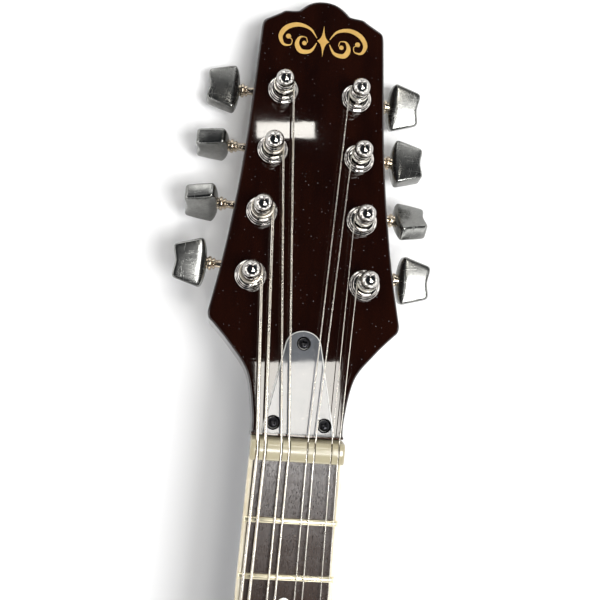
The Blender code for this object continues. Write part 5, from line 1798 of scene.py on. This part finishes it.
@dataclass
class Studio:
    """Camera, floor, lamps and surroundings."""

    layout: Layout
    camera_spot: Point = (-28.209, 57.718, 234.157)
    camera_axes: tuple[Point, Point, Point] = (
        (0.9907, 0.0904, 0.1022), (-0.0875, 0.9957, -0.0317), (-0.1046, 0.0224, 0.9943))
    lens: float = 43.64
    sky_strength: float = 3.3
    bright_sky: float = 1.0
    grey_seen: float = 0.27
    main_watts: float = 10.0
    main_size: float = 0.34
    main_height: float = 1.15
    main_lean: tuple[float, float] = (19.0, -6.0)
    sheen_watts: float = 1.3
    sheen_size: tuple[float, float] = (0.13, 0.10)
    sheen_height: float = 0.95
    sheen_lean: tuple[float, float] = (4.0, -12.5)
    glint_height: float = 0.9
    glint_colour: Colour = (1.0, 0.965, 0.90)
    # name, where its reflection lies on the headstock, the reflection's size, its tilt, radiance
    glints: tuple[tuple[str, Point, Point, float, float], ...] = (
        ("small_softbox", (-11.3, 108.6), (20.9, 6.1), 7.0, 24.0),
        ("glint_softbox", (-0.5, 13.6), (28.5, 25.0), 5.0, 17.0))

    def build(self) -> None:
        """Set up the whole studio."""
        self.build_camera()
        self.build_floor()
        self.build_sky()
        self.build_lamps()
        bpy.context.scene.view_settings.view_transform = "Standard"

    def build_camera(self) -> None:
        """Camera close above the headstock."""
        camera = bpy.data.cameras.new("camera")
        camera.lens, camera.sensor_width = self.lens, 36.0
        camera.clip_start, camera.clip_end = 0.01, 50.0
        obj = bpy.data.objects.new("camera", camera)
        axes = Matrix(self.camera_axes).transposed().to_4x4()
        seat = self.layout.board @ at(*self.camera_spot) @ axes
        seat.translation *= MM
        obj.matrix_world = seat
        bpy.context.scene.collection.objects.link(obj)
        bpy.context.scene.camera = obj

    def build_floor(self) -> None:
        """A wide pale floor under the instrument."""
        bm = bmesh.new()
        bmesh.ops.create_grid(bm, x_segments=1, y_segments=1, size=12.0)
        mesh = bpy.data.meshes.new("floor")
        bm.to_mesh(mesh)
        bm.free()
        material = bpy.data.materials.new("floor paper")
        material.use_nodes = True
        bench = Bench(material.node_tree)
        shader = material.node_tree.nodes["Principled BSDF"]
        cloud = bench.noise(bench.object_place(), 3.0)
        bench.feed(shader.inputs["Base Color"],
                   bench.blend(cloud, (0.90, 0.90, 0.90, 1), (0.93, 0.93, 0.93, 1)))
        shader.inputs["Roughness"].default_value = 0.95
        shader.inputs["Specular IOR Level"].default_value = 0.1
        mesh.materials.append(material)
        floor = bpy.data.objects.new("floor", mesh)
        bpy.context.scene.collection.objects.link(floor)

    def build_sky(self) -> None:
        """Surroundings: dim overhead, bright in patches to the sides, plain grey to the camera."""
        world = bpy.data.worlds.new("studio")
        world.use_nodes = True
        bpy.context.scene.world = world
        bench = Bench(world.node_tree)
        sky = world.node_tree.nodes["Background"]
        way = bench.lay("ShaderNodeTexCoord").outputs["Generated"]
        up = bench.lay("ShaderNodeSeparateXYZ", {0: way}).outputs["Z"]
        patches = bench.span(bench.noise(way, 2.6, 1.0), 0.47, 0.55, 0.06, 1.0)
        low_sky = bench.blend(patches, (0.04, 0.04, 0.045, 1), (*[self.bright_sky] * 3, 1))
        overhead = bench.span(up, 0.42, 0.60)
        dome = bench.blend(overhead, low_sky, (0.008, 0.009, 0.011, 1))
        seen = bench.lay("ShaderNodeLightPath").outputs["Is Camera Ray"]
        bench.feed(sky.inputs["Color"], bench.blend(seen, dome, (*[self.grey_seen] * 3, 1)))
        sky.inputs["Strength"].default_value = self.sky_strength

    @staticmethod
    def leaning(lean: tuple[float, float]) -> Vector:
        """The way up, leaned towards X and Y by so many degrees."""
        return Vector((math.tan(math.radians(lean[0])), math.tan(math.radians(lean[1])), 1.0))

    def build_lamps(self) -> None:
        """The main softbox, one for the board's sheen, and two small ones that glint in the lacquer."""
        head, board = self.layout.head, self.layout.board
        out = head.to_3x3() @ Vector((0, 0, 1))
        eye = (board @ Vector(self.camera_spot)) * MM
        face = head.translation * MM
        eye_height = (eye - face).dot(out)
        mirror_eye = eye - 2 * eye_height * out
        ratio = (self.glint_height + eye_height) / eye_height
        for name, spot, size, tilt, radiance in self.glints:
            aim = (head @ Vector((*spot, 0.0))) * MM
            centre = mirror_eye + (aim - mirror_eye) * ratio
            width, height = (length * MM * ratio for length in size)
            across = head.to_3x3() @ (turn(tilt, "Z").to_3x3() @ Vector((1, 0, 0)))
            watts = radiance * math.pi * width * height
            Softbox(name, watts, width, height, self.glint_colour).place_at(centre, across, out)
        sideways = Vector((1, 0, 0))
        glow = (board.to_3x3() @ self.leaning(self.sheen_lean)).normalized()
        sheen = Softbox("sheen_softbox", self.sheen_watts, *self.sheen_size)
        sheen.place_at(board.translation * MM + glow * self.sheen_height, sideways, glow)
        lean = self.leaning(self.main_lean).normalized()
        middle = (head @ Vector((0, 80, 0))) * MM
        main_lamp = Softbox("main_softbox", self.main_watts, self.main_size, self.main_size)
        main_lamp.place_at(middle + lean * self.main_height, sideways, lean)


# ------------------------------------------------------------------ the whole


def main() -> None:
    """Build the mandolin and its studio."""
    logging.basicConfig(level=logging.INFO, format="%(message)s")
    layout = Layout()
    body = Body()
    for part in (body, Neck(layout), HeadOrnament(layout), Tuners(layout), Strings(layout),
                 Bridge(layout, body), Tailpiece(layout), Studio(layout)):
        LOG.info("-- %s", type(part).__name__)
        part.build()


if __name__ == "__main__":
    main()
